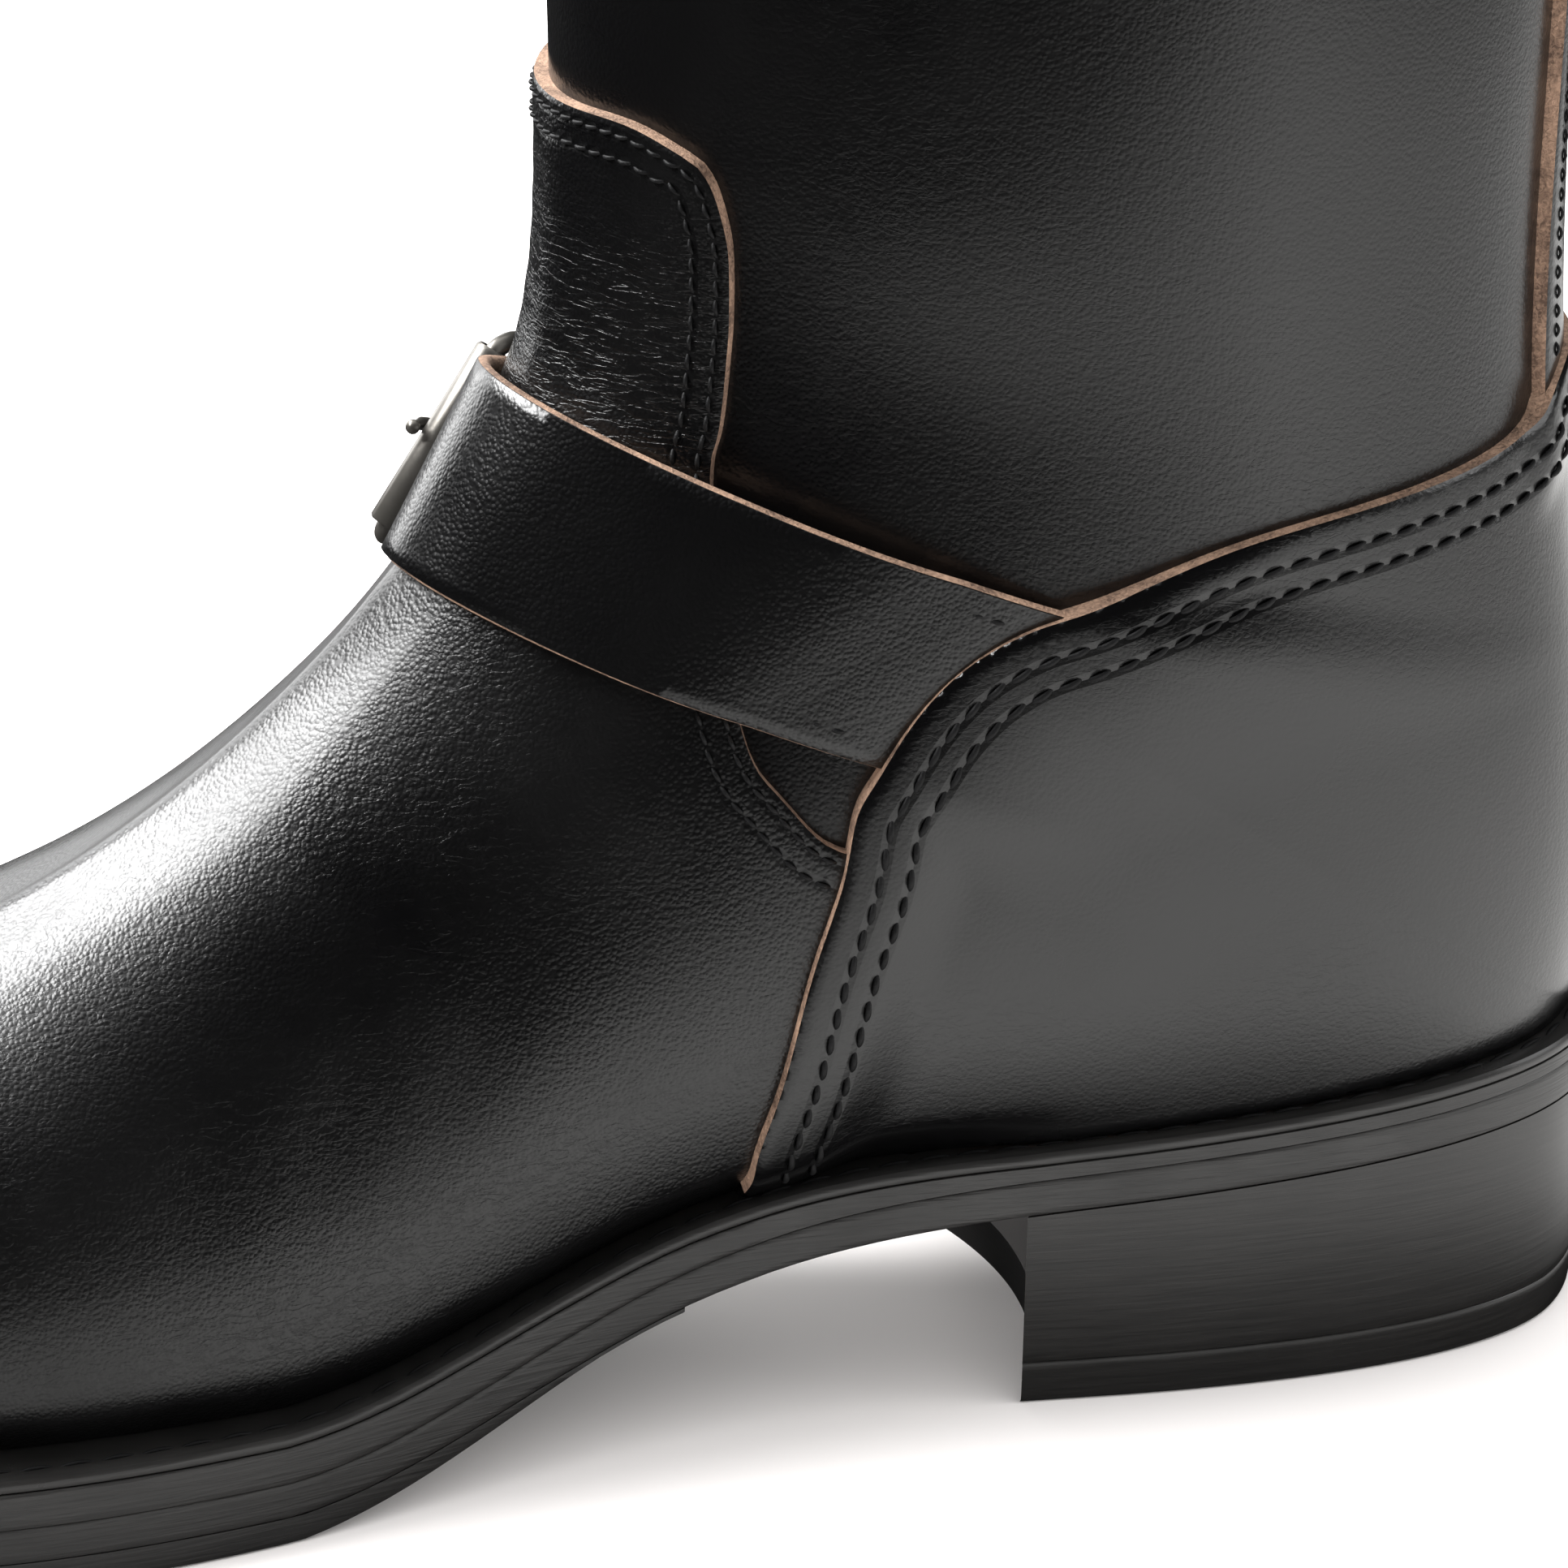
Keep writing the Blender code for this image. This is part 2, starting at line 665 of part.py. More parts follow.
def build_insole(parts):
    """The board that the upper is lasted round. It lies on the welt, inside the upper."""
    kept = 1 - WELT_REACH / (BALL_WIDTH / 2)
    inside = UPPER_WALL + INSOLE_CLEARANCE
    rings = []
    for share in (0, 1):
        plan = inset_outline(feather_outline(kept), inside)
        ring = []
        for x, station in plan:
            low = welt_top(np.clip(station, 0, SOLE_LENGTH)) + GAP
            ring.append(world(x, station, low + share * INSOLE_THICKNESS))
        rings.append(ring)
    return ring_solid("insole", rings, parts, (TAN_LEATHER, 0.8), ladder=True)


def heel_plan(inset, count=14):
    """Plan points of the heel: round at the back, hollow at the breast."""
    shares = HEEL_LENGTH / SOLE_LENGTH * (1 - np.cos(np.linspace(0, math.pi / 2, count)))
    inner = list(zip(sole_half(shares, "medial"), SOLE_LENGTH * shares))
    outer = list(zip(-sole_half(shares, "lateral"), SOLE_LENGTH * shares))
    side, corner = inner[-1]
    far = outer[-1][0]
    breast = []
    for share in np.arange(1, 8) / 8:
        x = side + share * (far - side)
        breast.append((x, corner - BREAST_HOLLOW * math.sin(math.pi * share) ** 0.8))
    return inset_outline(np.array(inner + breast + outer[:0:-1]), inset)


def build_heel(parts):
    """The stack of leather lifts and, under it, the top lift on the floor."""
    taper = HEEL_TAPER / HEEL_HEIGHT

    def ring(height, inset):
        points = []
        for x, station in heel_plan(inset):
            z = height if height is not None else sole_rise(station) - GAP
            points.append(world(x, station, z))
        return points

    seam = TOP_LIFT_THICKNESS
    stack = [ring(seam + GAP, HEEL_TAPER - seam * taper), ring(None, 0.0)]
    ring_solid("heel_stack", stack, parts, (EDGE_BLACK, 0.45), ladder=False)
    lift = [
        ring(0.0, HEEL_TAPER + EDGE_ROUND),
        ring(EDGE_ROUND, HEEL_TAPER),
        ring(seam, HEEL_TAPER - seam * taper),
    ]
    ring_solid("top_lift", lift, parts, (EDGE_BLACK, 0.6), ladder=False)


def build_upper(parts):
    points, faces, _ = upper_skin()
    obj = mesh_object("upper", points, faces, parts, (BLACK_LEATHER, 0.35))
    solidify(obj, UPPER_WALL, -1)
    return obj


def build_vamp(parts, cutters):
    """The front panel with its tab up the shaft, cut from a skin over the upper."""
    points, faces, normals = upper_skin()
    obj = mesh_object("vamp", points + GAP * normals, faces, parts, (BLACK_LEATHER, 0.35))
    solidify(obj, OVERLAY_WALL, 1)
    edge = [(s, z) for s, z in side_outline(VAMP_EDGE) if z > welt_top(s) + 2 * GAP]
    front = SOLE_LENGTH + 0.02
    outline = edge + [(front, edge[-1][1])] + sole_line(front, edge[0][0])
    cut(obj, side_cutter("vamp_outline", outline, cutters), "INTERSECT")
    clear = counter_outline(GAP)
    cut(obj, side_cutter("vamp_rear", clear, cutters), "DIFFERENCE")
    return obj


def counter_outline(grown):
    """Side view outline of the counter, grown by a clearance along its edge."""
    edge = np.array(side_outline(COUNTER_EDGE))
    along = np.gradient(edge, axis=0)
    along /= np.linalg.norm(along, axis=1)[:, None]
    outward = np.stack([along[:, 1], -along[:, 0]], axis=1)
    edge = edge + outward * grown
    behind = -0.02
    low = 0.0 if grown else None
    if low is None:
        kept = [tuple(p) for p in edge if p[1] > welt_top(p[0]) + 2 * GAP]
        return kept + sole_line(behind, kept[0][0])
    return [tuple(p) for p in edge] + [(behind, low), (edge[0][0], low)]


def build_counter(parts, cutters):
    """The heel panel. Along its front edge it stands over the vamp and the strap."""
    points, faces, normals = upper_skin()
    edge = side_outline(COUNTER_EDGE)
    heights = np.array([z for _, z in edge])
    stations = np.array([s for s, _ in edge])
    reach = HEEL_LENGTH / 2 - points[:, 1] - np.interp(points[:, 2], heights, stations)
    full = -COUNTER_STEP_LENGTH
    step = smooth(reach, full - COUNTER_STEP_FADE, full)
    low, high = height_of(np.array(COUNTER_STEP_LEVELS))
    step *= 1 - smooth(points[:, 2], low, high)
    wall = OVERLAY_WALL + COUNTER_STEP * step
    thickest = OVERLAY_WALL + COUNTER_STEP
    obj = mesh_object("counter", points + GAP * normals, faces, parts, (BLACK_LEATHER, 0.3))
    solidify(obj, thickest, 1, wall / thickest)
    cut(obj, side_cutter("counter_outline", counter_outline(0), cutters), "INTERSECT")
    return obj


def build_back_stay(parts, cutters):
    """The strip over the seam at the back of the shaft, from counter to collar."""
    points, faces, normals = upper_skin()
    obj = mesh_object("back_stay", points + GAP * normals, faces, parts, (BLACK_LEATHER, 0.35))
    solidify(obj, OVERLAY_WALL, 1)
    foot = height_of(np.array([0.9]))[0]
    top = SHAFT_HEIGHT + 0.01
    mesh = bmesh.new()
    corners = []
    for y in (HEEL_LENGTH / 2 - 0.15 * SOLE_LENGTH, HEEL_LENGTH / 2 + 0.02):
        for x, z in (
            (-STAY_HALF_WIDTH, foot),
            (STAY_HALF_WIDTH, foot),
            (STAY_TOP_HALF_WIDTH, top),
            (-STAY_TOP_HALF_WIDTH, top),
        ):
            corners.append(mesh.verts.new((x, y, z)))
    bmesh.ops.convex_hull(mesh, input=corners)
    bmesh.ops.recalc_face_normals(mesh, faces=mesh.faces)
    data = bpy.data.meshes.new("stay_outline")
    mesh.to_mesh(data)
    mesh.free()
    strip = bpy.data.objects.new("stay_outline", data)
    cutters.objects.link(strip)
    strip.hide_render = True
    strip.display_type = "WIRE"
    cut(obj, strip, "INTERSECT")
    cut(obj, side_cutter("stay_foot", counter_outline(GAP), cutters), "DIFFERENCE")
    return obj


def strap_lines(count=26):
    """The instep strap's way over the upper, from its inner end to its outer end.

    along: distance from the crest, positive on the outer side of the foot.
    low, high: points of the upper under the strap's two edges. out: outward normal.
    bulge: how far the upper stands out between the two edges.
    """
    rows = 150
    grid = [section_points(place, 2, count)[0] for place in np.linspace(0.2, 1, rows)]
    grid = np.array(grid)[:, 2:-2]
    station = HEEL_LENGTH / 2 - grid[:, :, 1]
    across = grid[:, :, 2] * math.cos(STRAP_TILT) - station * math.sin(STRAP_TILT)
    level = height_of(np.array([STRAP_LEVEL]))[0]
    middle = level * math.cos(STRAP_TILT) - STRAP_STATION * SOLE_LENGTH * math.sin(STRAP_TILT)
    lines = []
    for plane in (middle - STRAP_WIDTH / 2, middle, middle + STRAP_WIDTH / 2):
        line = []
        for j in range(grid.shape[1]):
            below = np.nonzero(across[:, j] < plane)[0][-1]
            first, second = across[below, j], across[below + 1, j]
            share = (plane - first) / (second - first)
            line.append(grid[below, j] + share * (grid[below + 1, j] - grid[below, j]))
        lines.append(np.array(line))
    low, centre, high = lines
    steps = np.linalg.norm(np.diff(centre, axis=0), axis=1)
    along = np.concatenate([[0], np.cumsum(steps)])
    along -= along[len(along) // 2]
    out = np.cross(np.gradient(centre, axis=0), high - low)
    out /= np.linalg.norm(out, axis=1)[:, None]
    if out[len(out) // 2][2] < 0:
        out = -out
    bulge = np.maximum(((centre - (low + high) / 2) * out).sum(axis=1), 0)
    return {"along": along, "low": low, "high": high, "out": out, "bulge": bulge}


def strap_point(lines, along, across, height, flat=False):
    """A point by distance along the strap, across it in metres from its middle, and above."""
    def read(values):
        return np.array([np.interp(along, lines["along"], values[:, k]) for k in range(3)])

    low, high, out = read(lines["low"]), read(lines["high"]), read(lines["out"])
    out /= np.linalg.norm(out)
    share = 0.5 + across / STRAP_WIDTH
    bulge = np.interp(along, lines["along"], lines["bulge"])
    if not flat:
        bulge *= max(1 - (2 * share - 1) ** 2, 0)
    return low + share * (high - low) + out * (height + bulge)


def fine_path(path, count):
    """Points at even steps along a smooth curve through the path's own points."""
    path = np.array(path)
    length = np.concatenate([[0], np.cumsum(np.linalg.norm(np.diff(path, axis=0), axis=1))])
    at = np.linspace(0, length[-1], count)
    return np.stack([spline(length, path[:, k], at) for k in range(path.shape[1])], axis=1)


def side_steps(path):
    """Unit vectors at right angles to a path in the plane of distance and height."""
    along = np.gradient(path, axis=0)
    along /= np.linalg.norm(along, axis=1)[:, None]
    return np.stack([-along[:, 1], along[:, 0]], axis=1)


def strap_band(name, lines, path, thickness, collection, finish, shares=None):
    """A leather band along a path of (distance, height), its inner face on the path.

    shares gives the half width at each point, for a band with a pointed end.
    """
    outer = path + side_steps(path) * thickness
    widths = np.ones(len(path)) if shares is None else shares
    rings = []
    for side in (-1, 0, 1):
        ring = []
        loop = list(zip(path, widths)) + list(zip(outer[::-1], widths[::-1]))
        for (along, height), width in loop:
            across = side * width * (STRAP_WIDTH / 2 - GAP)
            ring.append(strap_point(lines, along, across, height))
        rings.append(ring)
    return band_solid(name, rings, len(path), collection, finish)


def band_solid(name, rings, half, collection, finish):
    """Closes a band: its two cut edges are strips between the inner and outer line."""
    count = len(rings[0])
    points = [point for ring in rings for point in ring]
    faces = []
    for k in range(len(rings) - 1):
        low = k * count
        high = low + count
        for i in range(count):
            j = (i + 1) % count
            faces.append((low + i, low + j, high + j, high + i))
    for start in (0, (len(rings) - 1) * count):
        for i in range(half - 1):
            faces.append((start + i, start + i + 1, start + count - 2 - i, start + count - 1 - i))
    return face_outwards(mesh_object(name, points, faces, collection, finish))


def box_cutter(name, corners, cutters):
    """A cutter round the given corner points."""
    mesh = bmesh.new()
    made = [mesh.verts.new(tuple(corner)) for corner in corners]
    bmesh.ops.convex_hull(mesh, input=made)
    bmesh.ops.recalc_face_normals(mesh, faces=mesh.faces)
    data = bpy.data.meshes.new(name)
    mesh.to_mesh(data)
    mesh.free()
    obj = bpy.data.objects.new(name, data)
    cutters.objects.link(obj)
    obj.hide_render = True
    obj.display_type = "WIRE"
    return obj


def strap_box(name, lines, alongs, half, heights, cutters):
    """A cutter in the strap's own directions."""
    corners = []
    for along in alongs:
        for across in (-half, half):
            for height in heights:
                corners.append(strap_point(lines, along, across, height, flat=True))
    return box_cutter(name, corners, cutters)


def build_instep_strap(lines, parts, cutters):
    """The long strap: from the inner side over the instep, through the buckle, to its tail."""
    path = fine_path(
        (
            (-0.080, STRAP_REST),
            (-0.062, STRAP_REST),
            (-0.044, STRAP_REST),
            (-0.022, STRAP_REST),
            (0.000, STRAP_REST),
            (ROLLER_AT, STRAP_REST),
            (0.5 * (ROLLER_AT + BAR_AT), 0.45 * (STRAP_REST + over_prong())),
            (BAR_AT, over_prong()),
            (BAR_AT + 0.007, TAIL_REST + 0.0012),
            (KEEPER_AT - KEEPER_WIDTH / 2, TAIL_REST),
            (KEEPER_AT + KEEPER_WIDTH / 2, TAIL_REST),
            (STRAP_TAIL, TAIL_REST),
        ),
        40,
    )
    to_end = np.clip((STRAP_TAIL - path[:, 0]) / TAIL_POINT, 0, 1)
    shares = 0.28 + 0.72 * np.sqrt(1 - (1 - to_end) ** 2)
    finish = (BLACK_LEATHER, 0.3)
    obj = strap_band("instep_strap", lines, path, STRAP_THICKNESS, parts, finish, shares)
    edge = side_cutter("strap_end", counter_outline(GAP), cutters, (0.0, 0.09))
    cut(obj, edge, "DIFFERENCE")
    corners = []
    for along, height in prong_ends():
        for across in (-1, 1):
            for up in (-1, 1):
                reach = PRONG_WIDTH / 2 + GAP
                spot = (along, across * reach, height + up * reach)
                corners.append(strap_point(lines, *spot, flat=True))
    cut(obj, box_cutter("prong_hole", corners, cutters), "DIFFERENCE")
    return obj


def over_prong():
    """Height of the strap's underside where it crosses the prong's loop on the bar."""
    return BAR_HEIGHT + BUCKLE_WIRE / 2 + PRONG_WIDTH + 3 * GAP


def prong_ends():
    """Distance and height of the prong's straight run: on the bar and on the roller."""
    on_bar = BAR_HEIGHT + BUCKLE_WIRE / 2 + GAP + PRONG_WIDTH / 2
    on_roller = roller_height() + ROLLER_DIAMETER / 2 + GAP + PRONG_WIDTH / 2
    return ((BAR_AT, on_bar), (ROLLER_AT, on_roller))


def roller_height():
    """Height of the roller's axis: it lies on the strap."""
    return STRAP_REST + STRAP_THICKNESS + GAP + ROLLER_DIAMETER / 2


def build_buckle_strap(lines, parts, cutters):
    """The short strap folded round the buckle's bar. It comes from under the counter."""
    radius = BUCKLE_WIRE / 2 + GAP
    top = CHAPE_REST + CHAPE_THICKNESS
    lower = [
        (0.082, STRAP_REST + CHAPE_THICKNESS),
        (0.066, STRAP_REST + CHAPE_THICKNESS),
        (KEEPER_AT + KEEPER_WIDTH / 2, top),
        (KEEPER_AT - KEEPER_WIDTH / 2, top),
        (BAR_AT + 0.005, BAR_HEIGHT - radius + 0.0004),
        (BAR_AT + 0.001, BAR_HEIGHT - radius),
    ]
    fold = []
    for angle in np.radians((-60, -30, 0, 30, 60)):
        fold.append((BAR_AT - radius * math.cos(angle), BAR_HEIGHT + radius * math.sin(angle)))
    back = [
        (BAR_AT + 0.001, BAR_HEIGHT + radius),
        (BAR_AT + 0.007, top + GAP),
    ]
    path = fine_path(lower + fold + back, 40)
    obj = strap_band("buckle_strap", lines, path, CHAPE_THICKNESS, parts, (BLACK_LEATHER, 0.3))
    edge = side_cutter("buckle_strap_end", counter_outline(GAP), cutters, (-0.09, 0.0))
    cut(obj, edge, "DIFFERENCE")
    slot = strap_box("prong_slot", lines, (BAR_AT - 0.006, BAR_AT + 0.0055),
                     PRONG_WIDTH / 2 + 2 * GAP, (0.0, 0.016), cutters)
    cut(obj, slot, "DIFFERENCE")
    return obj


def wire(name, points, radius, collection, finish, closed):
    """A round bar along the points, as a mesh with closed ends."""
    curve = bpy.data.curves.new(name, "CURVE")
    curve.dimensions = "3D"
    curve.bevel_depth = radius
    curve.bevel_resolution = 2
    curve.use_fill_caps = not closed
    run = curve.splines.new("POLY")
    run.points.add(len(points) - 1)
    run.use_cyclic_u = closed
    for point, place in zip(run.points, points):
        point.co = (*map(float, place), 1)
    bar = bpy.data.objects.new(name + "_path", curve)
    collection.objects.link(bar)
    bpy.context.view_layer.update()
    graph = bpy.context.evaluated_depsgraph_get()
    data = bpy.data.meshes.new_from_object(bar.evaluated_get(graph))
    mesh = bmesh.new()
    mesh.from_mesh(data)
    bmesh.ops.remove_doubles(mesh, verts=mesh.verts, dist=1e-6)
    mesh.to_mesh(data)
    mesh.free()
    data.name = name
    data.materials.clear()
    data.materials.append(material(name, *finish))
    data.shade_smooth()
    obj = bpy.data.objects.new(name, data)
    obj.matrix_world = bar.matrix_world
    collection.objects.link(obj)
    bpy.data.objects.remove(bar)
    return face_outwards(obj)


def corner_arc(centre, radius, first, last, steps=4):
    """Points of a rounded corner in the buckle's plane of (along, across)."""
    angles = np.radians(np.linspace(first, last, steps))
    return [(centre[0] + radius * math.cos(a), centre[1] + radius * math.sin(a)) for a in angles]


def build_buckle_frame(lines, parts):
    """The square ring: one bar inside the roller, the other in the buckle strap's fold."""
    half = STRAP_WIDTH / 2 + BUCKLE_SIDE
    turn_radius = BUCKLE_WIRE
    ahead = ROLLER_AT + turn_radius
    behind = BAR_AT - turn_radius
    inner = half - turn_radius
    plan = corner_arc((ahead, inner), turn_radius, 180, 90)
    plan += corner_arc((behind, inner), turn_radius, 90, 0)
    plan += corner_arc((behind, -inner), turn_radius, 0, -90)
    plan += corner_arc((ahead, -inner), turn_radius, -90, -180)
    points = []
    for along, across in plan:
        share = (along - ROLLER_AT) / (BAR_AT - ROLLER_AT)
        height = roller_height() + share * (BAR_HEIGHT - roller_height())
        points.append(strap_point(lines, along, across, height, flat=True))
    return wire("buckle_frame", points, BUCKLE_WIRE / 2, parts, (NICKEL, 0.25, 1.0), True)


def build_buckle_roller(lines, parts):
    """A thin tube that turns on the buckle's front bar."""
    half = STRAP_WIDTH / 2
    ends = [strap_point(lines, ROLLER_AT, side * half, roller_height(), True) for side in (-1, 1)]
    axis = Vector(ends[1] - ends[0])
    profile = (
        (ROLLER_DIAMETER / 2, -0.5),
        (ROLLER_DIAMETER / 2, 0.5),
        (ROLLER_BORE / 2, 0.5),
        (ROLLER_BORE / 2, -0.5),
    )
    turns = 20
    points = []
    turned = axis.to_track_quat("Z", "Y")
    centre = Vector((ends[0] + ends[1]) / 2)
    for radius, share in profile:
        for k in range(turns):
            angle = 2 * math.pi * k / turns
            spot = Vector((radius * math.cos(angle), radius * math.sin(angle), share * axis.length))
            points.append(turned @ spot + centre)
    rings = [points[k * turns : (k + 1) * turns] for k in range(len(profile))]
    return tube_solid("buckle_roller", rings, parts, (NICKEL, 0.22, 1.0))


def build_buckle_prong(lines, parts):
    """The tongue of the buckle: hooked round the bar, through the strap, onto the roller."""
    radius = PRONG_WIDTH / 2
    around = BUCKLE_WIRE / 2 + GAP + radius
    path = []
    for angle in np.radians(np.linspace(-35, 75, 6)):
        path.append((BAR_AT + around * math.cos(angle), BAR_HEIGHT + around * math.sin(angle)))
    path += list(prong_ends())
    path.append((ROLLER_AT - PRONG_TIP, path[-1][1] - GAP))
    points = [strap_point(lines, along, 0, height, flat=True) for along, height in path]
    return wire("buckle_prong", points, radius, parts, (NICKEL, 0.25, 1.0), False)


def build_keeper(lines, parts):
    """The leather loop that holds the strap's tail down on the buckle strap."""
    below = STRAP_REST + KEEPER_WALL
    above = TAIL_REST + STRAP_THICKNESS + GAP
    side = STRAP_WIDTH / 2 + 2 * GAP
    bend = KEEPER_BEND
    loops = []
    for grow in (KEEPER_WALL, 0.0):
        radius = bend + grow
        loop = corner_arc((below + bend, -side + bend), radius, 180, 270, 3)
        loop += corner_arc((above - bend, -side + bend), radius, 270, 360, 3)
        loop += corner_arc((above - bend, side - bend), radius, 0, 90, 3)
        loop += corner_arc((below + bend, side - bend), radius, 90, 180, 3)
        loops.append(loop)
    rings = []
    half = KEEPER_WIDTH / 2
    for loop, along in ((0, -half), (0, 0), (0, half), (1, half), (1, 0), (1, -half)):
        ring = []
        for height, across in loops[loop]:
            ring.append(strap_point(lines, KEEPER_AT + along, across, height, flat=True))
        rings.append(ring)
    return tube_solid("strap_keeper", rings, parts, (BLACK_LEATHER, 0.35))


def main():
    for obj in list(bpy.data.objects):
        bpy.data.objects.remove(obj)
    parts = clear_collection("engineer_boot")
    cutters = clear_collection("cutters")
    build_heel(parts)
    build_half_sole(parts)
    build_outsole(parts)
    build_midsole(parts)
    build_welt(parts)
    build_insole(parts)
    build_upper(parts)
    build_vamp(parts, cutters)
    build_back_stay(parts, cutters)
    build_counter(parts, cutters)
    lines = strap_lines()
    build_instep_strap(lines, parts, cutters)
    build_buckle_strap(lines, parts, cutters)
    build_buckle_frame(lines, parts)
    build_buckle_roller(lines, parts)
    build_buckle_prong(lines, parts)
    build_keeper(lines, parts)


main()
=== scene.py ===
# An engineer boot for the right foot, dressed in black leather over its packed form.
# Metres, +Z up. The toe points along -Y and the inner side of the foot is +X.
import itertools
import math

import bpy
import numpy as np
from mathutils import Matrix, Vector


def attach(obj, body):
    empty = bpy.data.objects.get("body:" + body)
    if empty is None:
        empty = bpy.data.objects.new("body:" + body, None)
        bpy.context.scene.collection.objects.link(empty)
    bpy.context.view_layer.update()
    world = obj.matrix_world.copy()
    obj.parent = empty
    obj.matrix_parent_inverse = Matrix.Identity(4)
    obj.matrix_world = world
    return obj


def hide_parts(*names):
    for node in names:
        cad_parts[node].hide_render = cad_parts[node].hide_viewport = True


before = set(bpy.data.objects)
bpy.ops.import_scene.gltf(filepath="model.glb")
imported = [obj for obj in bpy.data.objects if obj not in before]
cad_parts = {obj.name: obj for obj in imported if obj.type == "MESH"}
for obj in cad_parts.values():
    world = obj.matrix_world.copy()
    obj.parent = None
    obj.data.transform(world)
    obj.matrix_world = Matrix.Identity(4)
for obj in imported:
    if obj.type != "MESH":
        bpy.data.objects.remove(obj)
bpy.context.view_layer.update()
print("frame loaded:", len(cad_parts), "nodes")

# the last and the sole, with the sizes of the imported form
last = {
    "soleLength": 0.302,
    "ballWidth": 0.100,
    "heelLength": 0.0848,
    "heelHeight": 0.0284,
    "outsole": 0.0047,
    "tread": 0.0042,
    "midsole": 0.0050,
    "welt": 0.0020,
    "weltReach": 0.0076,
    "heelSeatInset": 0.0055,
    "instepHeight": 0.130,
    "shaftHeight": 0.290,
    "gap": 0.0003,
    "leather": 0.0021,
}

# station, inner half, outer half, rise, tread, midsole: from the heel's back to the toe
soleTable = np.array([
    (0.000, 0.000, 0.000, 1.194, 0.00, 0.40),
    (0.011, 0.118, 0.118, 1.186, 0.00, 0.40),
    (0.030, 0.196, 0.196, 1.173, 0.00, 0.40),
    (0.060, 0.255, 0.258, 1.152, 0.00, 0.40),
    (0.105, 0.296, 0.302, 1.121, 0.00, 0.40),
    (0.169, 0.314, 0.323, 1.077, 0.00, 0.40),
    (0.225, 0.311, 0.330, 1.038, 0.00, 0.40),
    (0.281, 0.298, 0.342, 0.996, 0.00, 0.42),
    (0.344, 0.287, 0.354, 0.925, 0.00, 0.56),
    (0.408, 0.289, 0.369, 0.780, 0.00, 0.72),
    (0.471, 0.318, 0.393, 0.525, 0.20, 0.84),
    (0.534, 0.374, 0.426, 0.222, 0.62, 0.93),
    (0.598, 0.433, 0.465, 0.010, 0.94, 1.00),
    (0.661, 0.474, 0.493, -0.04, 1.00, 1.00),
    (0.725, 0.490, 0.508, -0.04, 1.00, 1.00),
    (0.788, 0.478, 0.503, 0.000, 1.00, 1.00),
    (0.852, 0.438, 0.472, 0.060, 1.00, 1.00),
    (0.915, 0.356, 0.398, 0.170, 1.00, 1.00),
    (0.950, 0.283, 0.324, 0.250, 1.00, 1.00),
    (0.982, 0.172, 0.202, 0.320, 1.00, 1.00),
    (1.000, 0.000, 0.000, 0.350, 1.00, 1.00),
])

# base, crest, level, inner half, outer half, widest, ridge, form: sections standing on the sole
footTable = np.array([
    (0.9745, 0.9755, 0.277, 0.025, 0.025, 0.30, 0.000, 0.90),
    (0.9682, 0.9699, 0.323, 0.102, 0.117, 0.30, 0.005, 0.86),
    (0.9483, 0.9520, 0.369, 0.197, 0.227, 0.30, 0.015, 0.84),
    (0.9156, 0.9238, 0.395, 0.285, 0.321, 0.30, 0.030, 0.84),
    (0.8692, 0.8841, 0.412, 0.356, 0.391, 0.30, 0.045, 0.86),
    (0.8096, 0.8328, 0.438, 0.409, 0.437, 0.29, 0.060, 0.90),
    (0.7417, 0.7765, 0.481, 0.432, 0.453, 0.28, 0.070, 0.94),
    (0.6689, 0.7185, 0.533, 0.429, 0.452, 0.28, 0.070, 0.98),
    (0.5927, 0.6656, 0.592, 0.397, 0.434, 0.30, 0.065, 1.02),
    (0.5166, 0.6175, 0.663, 0.359, 0.410, 0.33, 0.055, 1.06),
    (0.4404, 0.5762, 0.740, 0.332, 0.388, 0.37, 0.045, 1.08),
    (0.3642, 0.5447, 0.810, 0.324, 0.374, 0.41, 0.035, 1.08),
    (0.2914, 0.5199, 0.878, 0.327, 0.368, 0.44, 0.025, 1.06),
    (0.2185, 0.5000, 0.946, 0.336, 0.366, 0.46, 0.020, 1.04),
    (0.1490, 0.4861, 1.003, 0.348, 0.366, 0.47, 0.015, 1.02),
    (0.0894, 0.4762, 1.042, 0.358, 0.368, 0.48, 0.010, 1.00),
    (0.0447, 0.4699, 1.075, 0.366, 0.371, 0.49, 0.005, 1.00),
])

# back, back level, crest, level, inner half, outer half: loops from the heel seat to the collar
shaftTable = np.array([
    (0.0182, 0.000, 0.4662, 1.106, 0.372, 0.376),
    (0.0119, 0.423, 0.4636, 1.141, 0.378, 0.382),
    (0.0106, 0.538, 0.4619, 1.184, 0.384, 0.388),
    (0.0172, 0.692, 0.4609, 1.241, 0.392, 0.396),
    (0.0285, 0.862, 0.4609, 1.312, 0.402, 0.406),
    (0.0358, 1.044, 0.4616, 1.406, 0.415, 0.419),
    (0.0374, 1.225, 0.4636, 1.519, 0.430, 0.434),
    (0.0351, 1.438, 0.4669, 1.663, 0.450, 0.454),
    (0.0298, 1.700, 0.4719, 1.825, 0.475, 0.479),
    (0.0245, 2.000, 0.4785, 2.000, 0.500, 0.504),
])
footRows = len(footTable)
lastRow = footRows + len(shaftTable) - 1
heelPlace = footRows / lastRow
length, width = last["soleLength"], last["ballWidth"]


